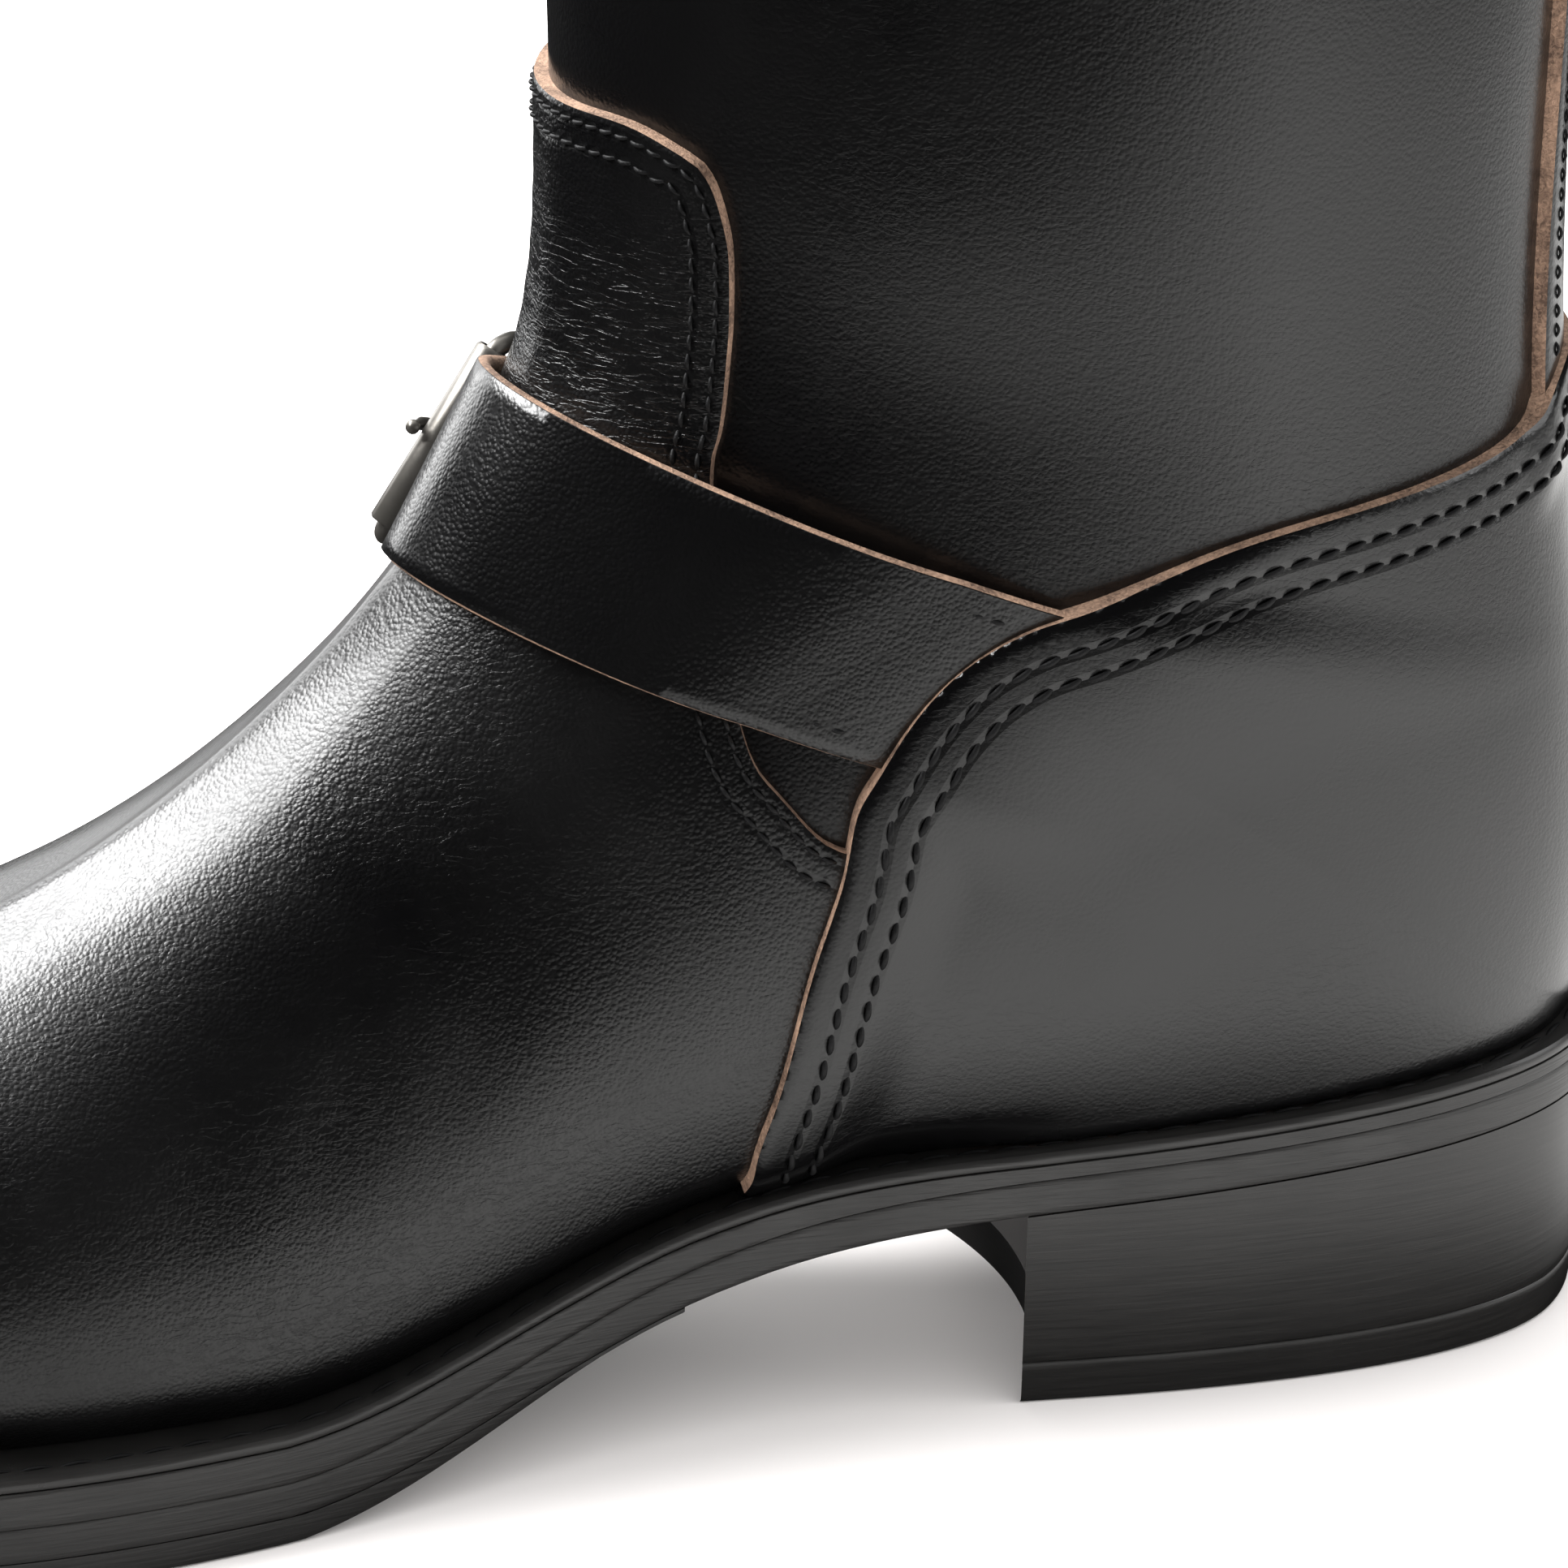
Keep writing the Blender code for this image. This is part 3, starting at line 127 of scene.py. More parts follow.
def curveThrough(knots, values, at):  # natural cubic
    knots, values, at = np.asarray(knots, float), np.asarray(values, float), np.asarray(at, float)
    count, step = len(knots), np.diff(knots)
    slope = np.diff(values) / step
    matrix, right = np.eye(count), np.zeros(count)
    for i in range(1, count - 1):
        matrix[i, i - 1 : i + 2] = step[i - 1], 2 * (step[i - 1] + step[i]), step[i]
        right[i] = 6 * (slope[i] - slope[i - 1])
    bend = np.linalg.solve(matrix, right)
    i = np.clip(np.searchsorted(knots, at, side="right") - 1, 0, count - 2)
    after, before = at - knots[i], knots[i + 1] - at
    curved = (bend[i] * before**3 + bend[i + 1] * after**3) / (6 * step[i])
    first = (values[i] / step[i] - bend[i] * step[i] / 6) * before
    return curved + first + (values[i + 1] / step[i] - bend[i + 1] * step[i] / 6) * after


def smooth(value, low, high):
    share = np.clip((np.asarray(value, float) - low) / (high - low), 0, 1)
    return share * share * (3 - 2 * share)


def hump(value, middle, spread):
    return np.exp(-(((np.asarray(value, float) - middle) / spread) ** 2))


def unit(vectors):
    return vectors / np.maximum(np.linalg.norm(vectors, axis=-1, keepdims=True), 1e-12)


def runOf(path):  # distance along a line of points
    return np.concatenate([[0], np.cumsum(np.linalg.norm(np.diff(path, axis=0), axis=1))])


def turnOf(share):
    return np.arccos(1 - 2 * np.clip(share, 0, 1))


def soleHalf(share, column):
    return width * np.maximum(curveThrough(turnOf(soleTable[:, 0]), soleTable[:, column], turnOf(share)), 0)


def layerAt(station, column, thickness):
    share = np.clip(np.asarray(station, float) / length, 0, 1)
    return thickness * np.clip(np.interp(share, soleTable[:, 0], soleTable[:, column]), 0, 1)


def soleRise(station):
    share = np.clip(np.asarray(station, float) / length, 0, 1)
    rise = np.maximum(curveThrough(soleTable[:, 0], soleTable[:, 3], share), 0)
    return last["heelHeight"] * rise + layerAt(station, 4, last["tread"])


def outsoleTop(station):
    return soleRise(station) + last["outsole"]


def midsoleTop(station):
    return outsoleTop(station) + layerAt(station, 5, last["midsole"])


def weltTop(station):
    return midsoleTop(station) + last["welt"]


def featherHalf(station, column):
    run = length - last["heelSeatInset"] - last["weltReach"]
    share = np.clip((station - last["heelSeatInset"]) / run, 0, 1)
    return (1 - last["weltReach"] / (width / 2)) * soleHalf(share, column)


def heightOf(level):
    level = np.asarray(level, float)
    above = np.maximum(level - 1, 0) * (last["shaftHeight"] - last["instepHeight"])
    return np.minimum(level, 1) * last["instepHeight"] + above


def toY(station):
    return last["heelLength"] / 2 - station


def measuresAt(places):
    at = np.asarray(places, float) * lastRow
    rows = np.arange(lastRow + 1)

    def along(footColumn, shaftColumn, plain=None, convert=None):
        tail = shaftTable[:, shaftColumn] if plain is None else np.full(len(shaftTable), plain)
        values = np.concatenate([footTable[:, footColumn], tail])
        return curveThrough(rows, convert(values) if convert else values, at)

    bases = length * np.append(footTable[:, 0], shaftTable[0, 0])
    base = curveThrough(rows[: footRows + 1], bases, np.minimum(at, footRows))
    backs = curveThrough(rows[footRows:], length * shaftTable[:, 0], np.maximum(at, footRows))
    levels = heightOf(shaftTable[:, 1])
    levels[0] = weltTop(length * shaftTable[0, 0]) + last["gap"]
    rising = curveThrough(rows[footRows:], levels, np.maximum(at, footRows))
    closed = at > footRows - 1e-9
    return {
        "crest": length * along(1, 2),
        "top": along(2, 3, convert=heightOf),
        "inner": width * along(3, 4),
        "outer": width * along(4, 5),
        "widest": along(5, 0, 0.50),
        "ridge": width * along(6, 0, 0.0),
        "form": along(7, 0, 1.0),
        "base": np.where(closed, backs, base),
        "bottom": np.where(closed, rising, weltTop(base) + last["gap"]),
        "closed": closed,
    }


def placesBetween(first, final, cell):
    coarse = np.linspace(first, final, 500)
    found = measuresAt(coarse)
    half = np.where(found["closed"], 0, featherHalf(found["base"], 2))
    foot = np.stack([half, found["base"], found["bottom"]], 1)
    crest = np.stack([found["outer"], found["crest"], found["top"]], 1)
    moved = np.maximum(*(np.linalg.norm(np.diff(line, axis=0), axis=1) for line in (foot, crest)))
    run = np.concatenate([[0], np.cumsum(moved)])
    return np.interp(np.linspace(0, run[-1], int(run[-1] / cell) + 2), run, coarse)


def placesOver(first, final, cell):
    if first < heelPlace < final:
        low, high = placesBetween(first, heelPlace, cell), placesBetween(heelPlace, final, cell)
        return np.concatenate([low, high[1:]])
    return placesBetween(first, final, cell)


def resample(path, count):
    run = runOf(path)
    at = np.linspace(0, run[-1], count)
    return np.stack([np.interp(at, run, path[:, k]) for k in range(path.shape[1])], 1)


def sideLine(found, k, side, column):
    half, widest, form = found[side][k], found["widest"][k], found["form"][k]
    foot = 0.0 if found["closed"][k] else float(featherHalf(found["base"][k], column))
    half = max(half, foot * 1.001)
    start = math.acos(foot / half)
    crest = found["ridge"][k] * (1 if side == "inner" else -1)
    angle = start * (1 - np.arange(40) / 40)
    low = np.stack([half * np.cos(angle), widest * (1 - np.sin(angle) / math.sin(start))], 1)
    angle = (math.pi / 2) * np.linspace(0, 1, 121)
    across, up = np.maximum(np.cos(angle), 0) ** form, np.sin(angle) ** form
    high = np.stack([crest + (half - crest) * across, widest + (1 - widest) * up], 1)
    line = np.concatenate([low, high])
    station = found["base"][k] + line[:, 1] * (found["crest"][k] - found["base"][k])
    height = found["bottom"][k] + line[:, 1] * (found["top"][k] - found["bottom"][k])
    return np.stack([line[:, 0] * (1 if side == "inner" else -1), toY(station), height], 1)


def skinGrid(places, perSide):  # each row runs from the inner foot over the crest to the outer foot
    found = measuresAt(places)
    grid = []
    for k in range(len(places)):
        inner = resample(sideLine(found, k, "inner", 1), perSide + 1)
        outer = resample(sideLine(found, k, "outer", 2), perSide + 1)
        grid.append(np.concatenate([inner, outer[-2::-1]]))
    return np.array(grid), found["closed"]


# panel edges seen from the side: station, level
counterEdge = np.array([
    (0.404, 0.200), (0.402, 0.315), (0.392, 0.401), (0.379, 0.525), (0.366, 0.618), (0.360, 0.685),
    (0.351, 0.725), (0.336, 0.782), (0.313, 0.840), (0.287, 0.876), (0.261, 0.895), (0.221, 0.929),
    (0.164, 0.958), (0.080, 0.980), (0.058, 1.006), (0.036, 1.035), (-0.020, 1.060),
])
vampEdge = np.array([
    (0.340, 0.200), (0.336, 0.560), (0.362, 0.644), (0.379, 0.671), (0.392, 0.709), (0.403, 0.755),
    (0.411, 0.880), (0.412, 1.011), (0.4085, 1.048), (0.4055, 1.108), (0.4045, 1.142), (0.4045, 1.189),
    (0.406, 1.216), (0.409, 1.241), (0.414, 1.263), (0.423, 1.275), (0.437, 1.287), (0.452, 1.288),
    (0.464, 1.287), (0.480, 1.295),
])
strap = {
    "station": 0.509, "level": 0.992, "tilt": math.radians(21.8), "width": 0.0275, "thickness": last["leather"],
    "dip": ((-0.060, 0.0), (-0.020, 0.0010), (0.0, 0.0022), (0.017, 0.0050), (0.040, 0.0050), (0.075, 0.002)),
}
stay = {"half": 0.0190, "topHalf": 0.0120, "foot": 0.9}


def edgeLine(table, fine=10):
    rows = np.arange(len(table))
    at = np.linspace(0, len(table) - 1, fine * (len(table) - 1) + 1)
    stations, heights = curveThrough(rows, table[:, 0], at), curveThrough(rows, heightOf(table[:, 1]), at)
    return np.stack([length * stations, heights], 1)


def edgeDistance(side, normals, line, inside):  # how far inside the panel's edge, along the leather
    def signedTo(spots):
        best = np.full(len(spots), 1e9)
        signed, facing = np.zeros(len(spots)), np.zeros((len(spots), 2))
        for first, second in zip(line[:-1], line[1:]):
            step = second - first
            size = np.linalg.norm(step)
            offset = spots - first
            share = np.clip((offset @ step) / size**2, 0, 1)
            apart = offset - share[:, None] * step
            far = np.linalg.norm(apart, axis=1)
            closer = far < best - 1e-9
            best[closer] = far[closer]
            signed[closer] = (far * np.sign(step[0] * apart[:, 1] - step[1] * apart[:, 0]))[closer]
            facing[closer] = np.array([-step[1], step[0]]) / size
        return signed, facing

    signed, facing = signedTo(side)
    if signedTo(np.array([inside]))[0][0] < 0:
        signed = -signed
    slope = -facing[:, 0] * normals[:, 1] + facing[:, 1] * normals[:, 2]
    return signed / np.maximum(np.sqrt(np.maximum(1 - slope**2, 0)), 0.3)


counterLine, vampLine = edgeLine(counterEdge), edgeLine(vampEdge)
posAt, normAt = slice(0, 3), slice(3, 6)
stationAt, heightAt, counterAt, vampAt, stayAt, strapAt = 6, 7, 8, 9, 10, 11
strapMiddle = heightOf(strap["level"]) * math.cos(strap["tilt"])
strapMiddle -= strap["station"] * length * math.sin(strap["tilt"])


def vertexNormals(points, quads):
    normals = np.zeros_like(points)
    across = np.cross(points[quads[:, 2]] - points[quads[:, 0]], points[quads[:, 3]] - points[quads[:, 1]])
    for k in range(4):
        np.add.at(normals, quads[:, k], across)
    return unit(normals)


def makeSheet(places, perSide):
    grid, closed = skinGrid(places, perSide)
    rows, columns = grid.shape[:2]
    number = np.arange(rows * columns).reshape(rows, columns)
    number[closed, -1] = number[closed, 0]
    points = grid.reshape(-1, 3)
    quads = np.stack([number[:-1, :-1], number[:-1, 1:], number[1:, 1:], number[1:, :-1]], -1).reshape(-1, 4)
    if places[0] == 0:  # close the toe from side to side
        toe, j = number[0], np.arange(perSide)
        quads = np.concatenate([quads, np.stack([toe[-1 - j], toe[-2 - j], toe[j + 1], toe[j]], 1)])
    normals = vertexNormals(points, quads)
    if (normals * (points - np.array([0, toY(0.25 * length), last["instepHeight"]]))).sum() < 0:
        quads, normals = quads[:, ::-1], -normals
    normals[number[closed, 0]] = unit(normals[number[closed, 0]] * np.array([0, 1, 1]))
    side = np.stack([toY(points[:, 1]), points[:, 2]], 1)
    points = points + normals * creases(points, normals)[:, None]
    normals = vertexNormals(points, quads)
    counter = edgeDistance(side, normals, counterLine, (0.1 * length, 0.06))
    vamp = edgeDistance(side, normals, vampLine, (0.7 * length, 0.04))
    half = np.interp(points[:, 2], (heightOf(stay["foot"]), last["shaftHeight"]), (stay["half"], stay["topHalf"]))
    back = np.where(side[:, 0] < 0.16 * length, half - np.abs(points[:, 0]), -1.0)
    across = side[:, 1] * math.cos(strap["tilt"]) - side[:, 0] * math.sin(strap["tilt"]) - strapMiddle
    data = np.concatenate([points, normals, side, np.stack([counter, vamp, back, across], 1)], 1)
    faces = [tuple(dict.fromkeys(face)) for face in quads.tolist()]
    return {"rows": data, "faces": [face for face in faces if len(face) > 2]}


def keepFaces(sheet, test):  # test reads one array of mean rows
    data, faces = sheet["rows"], sheet["faces"]
    sizes = np.array([len(face) for face in faces])
    flat = np.fromiter(itertools.chain.from_iterable(faces), int)
    means = np.add.reduceat(data[flat], np.concatenate([[0], np.cumsum(sizes)[:-1]])) / sizes[:, None]
    kept = test(means)
    return {"rows": data, "faces": [face for face, keep in zip(faces, kept.tolist()) if keep]}


def splitAt(sheet, column, level):
    data = sheet["rows"]
    value = data[:, column] - level
    value[np.abs(value) < 2e-6] = 0
    sign, faces, made, extra = np.sign(value).astype(int).tolist(), [], {}, []
    for face in sheet["faces"]:
        signs = [sign[i] for i in face]
        if min(signs) >= 0 or max(signs) <= 0:
            faces.append(face)
            continue
        high, low = [], []
        for i, j in zip(face, face[1:] + face[:1]):
            if sign[i] >= 0:
                high.append(i)
            if sign[i] <= 0:
                low.append(i)
            if sign[i] * sign[j] < 0:
                pair = (min(i, j), max(i, j))
                if pair not in made:
                    share = value[pair[0]] / (value[pair[0]] - value[pair[1]])
                    made[pair] = len(data) + len(extra)
                    extra.append((1 - share) * data[pair[0]] + share * data[pair[1]])
                high.append(made[pair])
                low.append(made[pair])
        faces += [tuple(part) for part in (high, low) if len(part) > 2]
    if extra:
        extra = np.array(extra)
        extra[:, normAt] = unit(extra[:, normAt])
        data = np.concatenate([data, extra])
    return {"rows": data, "faces": faces}


def edgePairs(sheet, column, level, single):
    on = (np.abs(sheet["rows"][:, column] - level) < 3e-6).tolist()
    seen = {}
    for face in sheet["faces"]:
        for i, j in zip(face, face[1:] + face[:1]):
            if on[i] and on[j]:
                seen.setdefault((min(i, j), max(i, j)), []).append((i, j))
    return [runs[0] for runs in seen.values() if len(runs) == 1 or not single]


def chainsOf(pairs):
    near = {}
    for i, j in pairs:
        near.setdefault(i, []).append(j)
        near.setdefault(j, []).append(i)
    left, chains = dict.fromkeys(near), []
    while left:
        start = next((i for i in left if len(near[i]) == 1), next(iter(left)))
        chain, here = [], start
        while here is not None:
            del left[here]
            chain.append(here)
            here = next((j for j in near[here] if j in left), None)
        chains.append(chain)
    return [chain for chain in chains if len(chain) > 6]


def ringFaces(rings, count, closed=False):  # quads between rings of as many points
    faces = []
    for k in range(rings if closed else rings - 1):
        j = (k + 1) % rings
        for n in range(count):
            m = (n + 1) % count
            faces.append((k * count + n, k * count + m, j * count + m, j * count + n))
    return faces


def meshPiece(name, points, faces, materials, node, kinds=None, sharp=50, values=None, stands=True):
    flat = np.fromiter(itertools.chain.from_iterable(faces), int)
    used, inverse = np.unique(flat, return_inverse=True)
    inverse, tight, at = inverse.tolist(), [], 0
    for face in faces:
        tight.append(inverse[at : at + len(face)])
        at += len(face)
    mesh = bpy.data.meshes.new(name)
    mesh.from_pydata(np.asarray(points)[used].tolist(), [], tight)
    for material in materials:
        mesh.materials.append(material)
    if kinds is not None:
        mesh.polygons.foreach_set("material_index", np.asarray(kinds, np.int32))
    for key, numbers in (values or {}).items():
        held = mesh.attributes.new(key, "FLOAT", "POINT")
        held.data.foreach_set("value", np.asarray(numbers, np.float32)[used])
    mesh.shade_smooth()
    mesh.set_sharp_from_angle(angle=math.radians(sharp))
    piece = bpy.data.objects.new(name, mesh)
    bpy.context.scene.collection.objects.link(piece)
    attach(piece, "root")
    if stands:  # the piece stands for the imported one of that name
        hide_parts(node)
    return piece


def surface(name, **sockets):
    made = bpy.data.materials.new(name)
    made.use_nodes = True
    shader = made.node_tree.nodes["Principled BSDF"]
    for key, value in sockets.items():
        shader.inputs[key.replace("_", " ")].default_value = value
    return made, made.node_tree, shader


def nodeIn(tree, kind, inputs=None, **settings):
    node = tree.nodes.new(kind)
    for key, value in settings.items():
        setattr(node, key, value)
    for key, value in (inputs or {}).items():
        if isinstance(value, bpy.types.NodeSocket):
            tree.links.new(value, node.inputs[key])
        else:
            node.inputs[key].default_value = value
    return node


def mathIn(tree, operation, first, second=0.0):
    return nodeIn(tree, "ShaderNodeMath", {0: first, 1: second}, operation=operation).outputs[0]


def sumIn(tree, first, second):
    return mathIn(tree, "ADD", first, second)


def timesIn(tree, first, second):
    return mathIn(tree, "MULTIPLY", first, second)


def apartIn(tree, first, second):
    return mathIn(tree, "ABSOLUTE", mathIn(tree, "SUBTRACT", first, second))


def spotsIn(tree, scale=(1, 1, 1)):  # places on the boot itself, in metres
    spots = nodeIn(tree, "ShaderNodeTexCoord").outputs["Object"]
    return nodeIn(tree, "ShaderNodeMapping", {"Vector": spots, "Scale": scale}).outputs[0]


def noiseIn(tree, spots, scale, detail=3, distortion=0.0):
    inputs = {"Vector": spots, "Scale": scale, "Detail": detail, "Distortion": distortion}
    return nodeIn(tree, "ShaderNodeTexNoise", inputs).outputs["Fac"]


def spreadIn(tree, value, low, high, toLow, toHigh):
    inputs = {"Value": value, "From Min": low, "From Max": high, "To Min": toLow, "To Max": toHigh}
    return nodeIn(tree, "ShaderNodeMapRange", inputs).outputs["Result"]


def blendIn(tree, share, first, second):
    node = nodeIn(tree, "ShaderNodeMix", data_type="RGBA")
    tree.links.new(share, node.inputs[0])
    for socket, colour in ((node.inputs[6], first), (node.inputs[7], second)):
        if isinstance(colour, bpy.types.NodeSocket):
            tree.links.new(colour, socket)
        else:
            socket.default_value = (*colour, 1)
    return node.outputs[2]


def dye(tree, shader, share, first, second):
    tree.links.new(blendIn(tree, share, first, second), shader.inputs["Base Color"])


def polish(tree, shader, patches, low, high):
    tree.links.new(spreadIn(tree, patches, 0.3, 0.7, low, high), shader.inputs["Roughness"])


def roughen(tree, shader, height, strength, distance):
    inputs = {"Height": height, "Strength": strength, "Distance": distance}
    tree.links.new(nodeIn(tree, "ShaderNodeBump", inputs).outputs[0], shader.inputs["Normal"])


# tab, grain and wrinkle are heights of the bump, low and high bound the roughness,
# and rows are the stitch rows' distances from a panel's cut edge
leather = {
    "black": (0.0008, 0.0008, 0.0010), "worn": (0.0024, 0.0023, 0.0025),
    "vamp": {"tab": 0.8, "grain": 0.9, "wrinkle": 0.45, "low": 0.24, "high": 0.40, "rows": (0.0016, 0.0048)},
    "shaft": {"tab": 0, "grain": 0.45, "wrinkle": 0.25, "low": 0.24, "high": 0.32, "rows": ()},
    "counter": {"tab": 0, "grain": 0.30, "wrinkle": 0.25, "low": 0.22, "high": 0.32, "rows": (0.0044, 0.0081)},
    "strap": {"tab": 0, "grain": 0.90, "wrinkle": 0.15, "low": 0.27, "high": 0.34, "rows": ()},
}


def blackLeather(name, finish):
    made, tree, shader = surface(name, Coat_Weight=0.22, Coat_Roughness=0.16, Specular_IOR_Level=0.5)
    spots = spotsIn(tree)
    cells = nodeIn(tree, "ShaderNodeTexVoronoi", {"Vector": spots, "Scale": 1650.0, "Randomness": 1.0})
    pores = spreadIn(tree, cells.outputs["Distance"], 0.15, 0.75, 1.0, 0.0)
    patches = noiseIn(tree, spots, 34.0, 4, 0.4)
    folds = noiseIn(tree, spotsIn(tree, (1.0, 0.55, 1.5)), 560.0, 5, 0.5)
    veins = spreadIn(tree, apartIn(tree, folds, 0.5), 0.0, 0.05, -1.0, 0.0)
    shown = spreadIn(tree, noiseIn(tree, spots, 20.0, 3), 0.40, 0.66, 0.1, 1.0)
    wrinkles = timesIn(tree, timesIn(tree, veins, shown), finish["wrinkle"])
    height = sumIn(tree, timesIn(tree, pores, finish["grain"]), wrinkles)
    if finish["tab"]:  # fine folds across the tab above the strap
        across = noiseIn(tree, spotsIn(tree, (0.22, 0.22, 1.0)), 860.0, 3, 0.4)
        across = spreadIn(tree, apartIn(tree, across, 0.5), 0.0, 0.055, -1.0, 0.0)
        level = nodeIn(tree, "ShaderNodeSeparateXYZ", {0: spots}).outputs[2]
        above, below = spreadIn(tree, level, 0.122, 0.134, 0.0, 1.0), spreadIn(tree, level, 0.158, 0.170, 1.0, 0.0)
        deep = timesIn(tree, timesIn(tree, above, below), finish["tab"])
        height = sumIn(tree, height, timesIn(tree, across, deep))
    height = sumIn(tree, height, timesIn(tree, noiseIn(tree, spots, 420.0, 2), 0.4))
    if finish["rows"]:
        edge = nodeIn(tree, "ShaderNodeAttribute", attribute_name="edge").outputs["Fac"]
        for row in finish["rows"]:  # the thread pulls a soft channel into the leather
            height = sumIn(tree, height, spreadIn(tree, apartIn(tree, edge, row), 0.0, 0.0009, -3.0, 0.0))
    roughen(tree, shader, height, 0.8, 0.00007)
    dye(tree, shader, patches, leather["black"], leather["worn"])
    polish(tree, shader, patches, finish["low"], finish["high"])
    return made


def rawLeather(name, light, dark, rough=0.85):  # cut edges, lining and board
    made, tree, shader = surface(name, Roughness=rough)
    spots = spotsIn(tree)
    fibres = noiseIn(tree, spots, 1900.0, 4, 0.8)
    stain = noiseIn(tree, spots, 190.0, 3)
    dye(tree, shader, spreadIn(tree, sumIn(tree, fibres, stain), 0.75, 1.25, 0.0, 1.0), dark, light)
    roughen(tree, shader, fibres, 0.9, 0.00025)
    return made


def edgeLeather(name, low, high, lines=2200.0, depth=0.6):  # painted sole edges, with fine lines along them
    made, tree, shader = surface(name, Coat_Weight=0.15, Coat_Roughness=0.3)
    lineNoise = noiseIn(tree, spotsIn(tree, (0.045, 0.045, 1.0)), lines, 4, 0.3)
    patches = noiseIn(tree, spotsIn(tree), 60.0, 4)
    roughen(tree, shader, sumIn(tree, lineNoise, timesIn(tree, patches, 1.5)), depth, 0.00018)
    dye(tree, shader, lineNoise, (0.006, 0.006, 0.006), (0.020, 0.019, 0.018))
    polish(tree, shader, patches, low, high)
    return made


def threadFinish(name):
    made, tree, shader = surface(name, Roughness=0.6, Specular_IOR_Level=0.3)
    twist = noiseIn(tree, spotsIn(tree), 3200.0, 2)
    roughen(tree, shader, twist, 0.7, 0.0001)
    dye(tree, shader, twist, (0.0015, 0.0015, 0.002), (0.006, 0.006, 0.0065))
    return made


def nickelFinish(name):
    made, tree, shader = surface(name, Metallic=0.8)
    scratches = noiseIn(tree, spotsIn(tree, (1, 1, 0.08)), 2600.0, 3)
    tint = noiseIn(tree, spotsIn(tree), 300.0, 3)
    dye(tree, shader, tint, (0.10, 0.095, 0.085), (0.18, 0.17, 0.155))
    polish(tree, shader, scratches, 0.28, 0.36)
    roughen(tree, shader, scratches, 0.08, 0.00001)
    return made


vampBlack = blackLeather("vampBlack", leather["vamp"])
shaftBlack = blackLeather("shaftBlack", leather["shaft"])
counterBlack = blackLeather("counterBlack", leather["counter"])
strapBlack = blackLeather("strapBlack", leather["strap"])
rawEdge = rawLeather("rawEdge", (0.34, 0.215, 0.145), (0.09, 0.052, 0.034))
liningTan = rawLeather("liningTan", (0.50, 0.33, 0.20), (0.38, 0.24, 0.14), 0.62)
boardTan = rawLeather("boardTan", (0.44, 0.29, 0.18), (0.33, 0.21, 0.12), 0.7)
soleEdge = edgeLeather("soleEdge", 0.30, 0.46)
halfSoleEdge = edgeLeather("halfSoleEdge", 0.38, 0.52)
heelEdge = edgeLeather("heelEdge", 0.30, 0.38, 1900.0, 0.2)
weltBlack = edgeLeather("weltBlack", 0.26, 0.40, 1900.0, 0.35)
breastReflectionAndBare, tree, shader = surface("breastReflectionAndBare", Roughness=0.5)  # lighter grey is a painted reflection of the floor under the arch; the bare tan upper corner is real
place = nodeIn(tree, "ShaderNodeSeparateXYZ", {0: spotsIn(tree)})
inner = spreadIn(tree, place.outputs[0], 0.0245, 0.0255, 0.0, 1.0)
bare = timesIn(tree, inner, spreadIn(tree, place.outputs[2], 0.0125, 0.0165, 0.0, 1.0))
dye(tree, shader, bare, (0.085, 0.08, 0.078), (0.42, 0.28, 0.19))
blackThread = threadFinish("blackThread")
nickel = nickelFinish("nickel")
print("materials mixed")

# soft creases: station, height, spread and depth in metres; troughs are negative
relief = {
    "tabFrom": (0.128, 0.140), "tabTo": (0.168, 0.176), "tabAhead": (0.124, 0.134),
    "shaftSwell": (0.0010, 0.185, 0.030, 0.055, 0.035),
    "ridgeFrom": (0.150, 0.162), "ridgeTo": (0.225, 0.255), "featherFrom": (0.075, 0.11), "featherTo": (0.0, 0.0085),
    "vampFolds": (
        (0.156, 0.066, 0.0060, 0.016, -0.00025), (0.172, 0.060, 0.0065, 0.017, -0.00030),
        (0.189, 0.055, 0.0065, 0.018, -0.00022),
    ),
    "ridge": 0.0008, "tabWave": 0.00004, "ankleFold": 0.0014, "vampRidge": 0.0013, "feather": 0.0028,
}


def creases(points, normals):
    station, height = toY(points[:, 1]), points[:, 2]
    depth = np.zeros(len(points))
    for s, z, wide, tall, deep in relief["vampFolds"]:  # leaning flex folds over the ball
        lean = station - s + 0.35 * (height - z)
        depth += deep * hump(lean, 0, wide) * hump(height, z, tall)
    tab = smooth(height, *relief["tabFrom"]) * (1 - smooth(height, *relief["tabTo"]))
    tab = tab * smooth(station, *relief["tabAhead"])
    wave = np.sin(height * 1050 + 3.2 * np.sin(station * 300) + 60 * points[:, 0])
    depth += relief["tabWave"] * wave * tab
    depth += relief["ridge"] * tab * hump(points[:, 0], 0.007, 0.0035)
    fold = hump(height, 0.136 + 0.25 * (station - 0.07), 0.020) * hump(station, 0.095, 0.030)
    depth -= relief["ankleFold"] * fold
    deep, z, tall, s, wide = relief["shaftSwell"]
    depth += deep * hump(height, z, tall) * hump(station, s, wide)
    crest = width * np.interp(station, length * footTable[::-1, 1], footTable[::-1, 6])
    ridge = np.exp(-np.abs(points[:, 0] - crest) / 0.0032)  # the folded line along the vamp
    ridge *= smooth(station, *relief["ridgeFrom"]) * (1 - smooth(station, *relief["ridgeTo"]))
    depth += relief["vampRidge"] * ridge * smooth(normals[:, 2], 0.35, 0.6)
    low = 1 - smooth(height - weltTop(station), *relief["featherTo"])  # drawn in where it is welted
    depth -= relief["feather"] * smooth(station, *relief["featherFrom"]) * low
    return depth


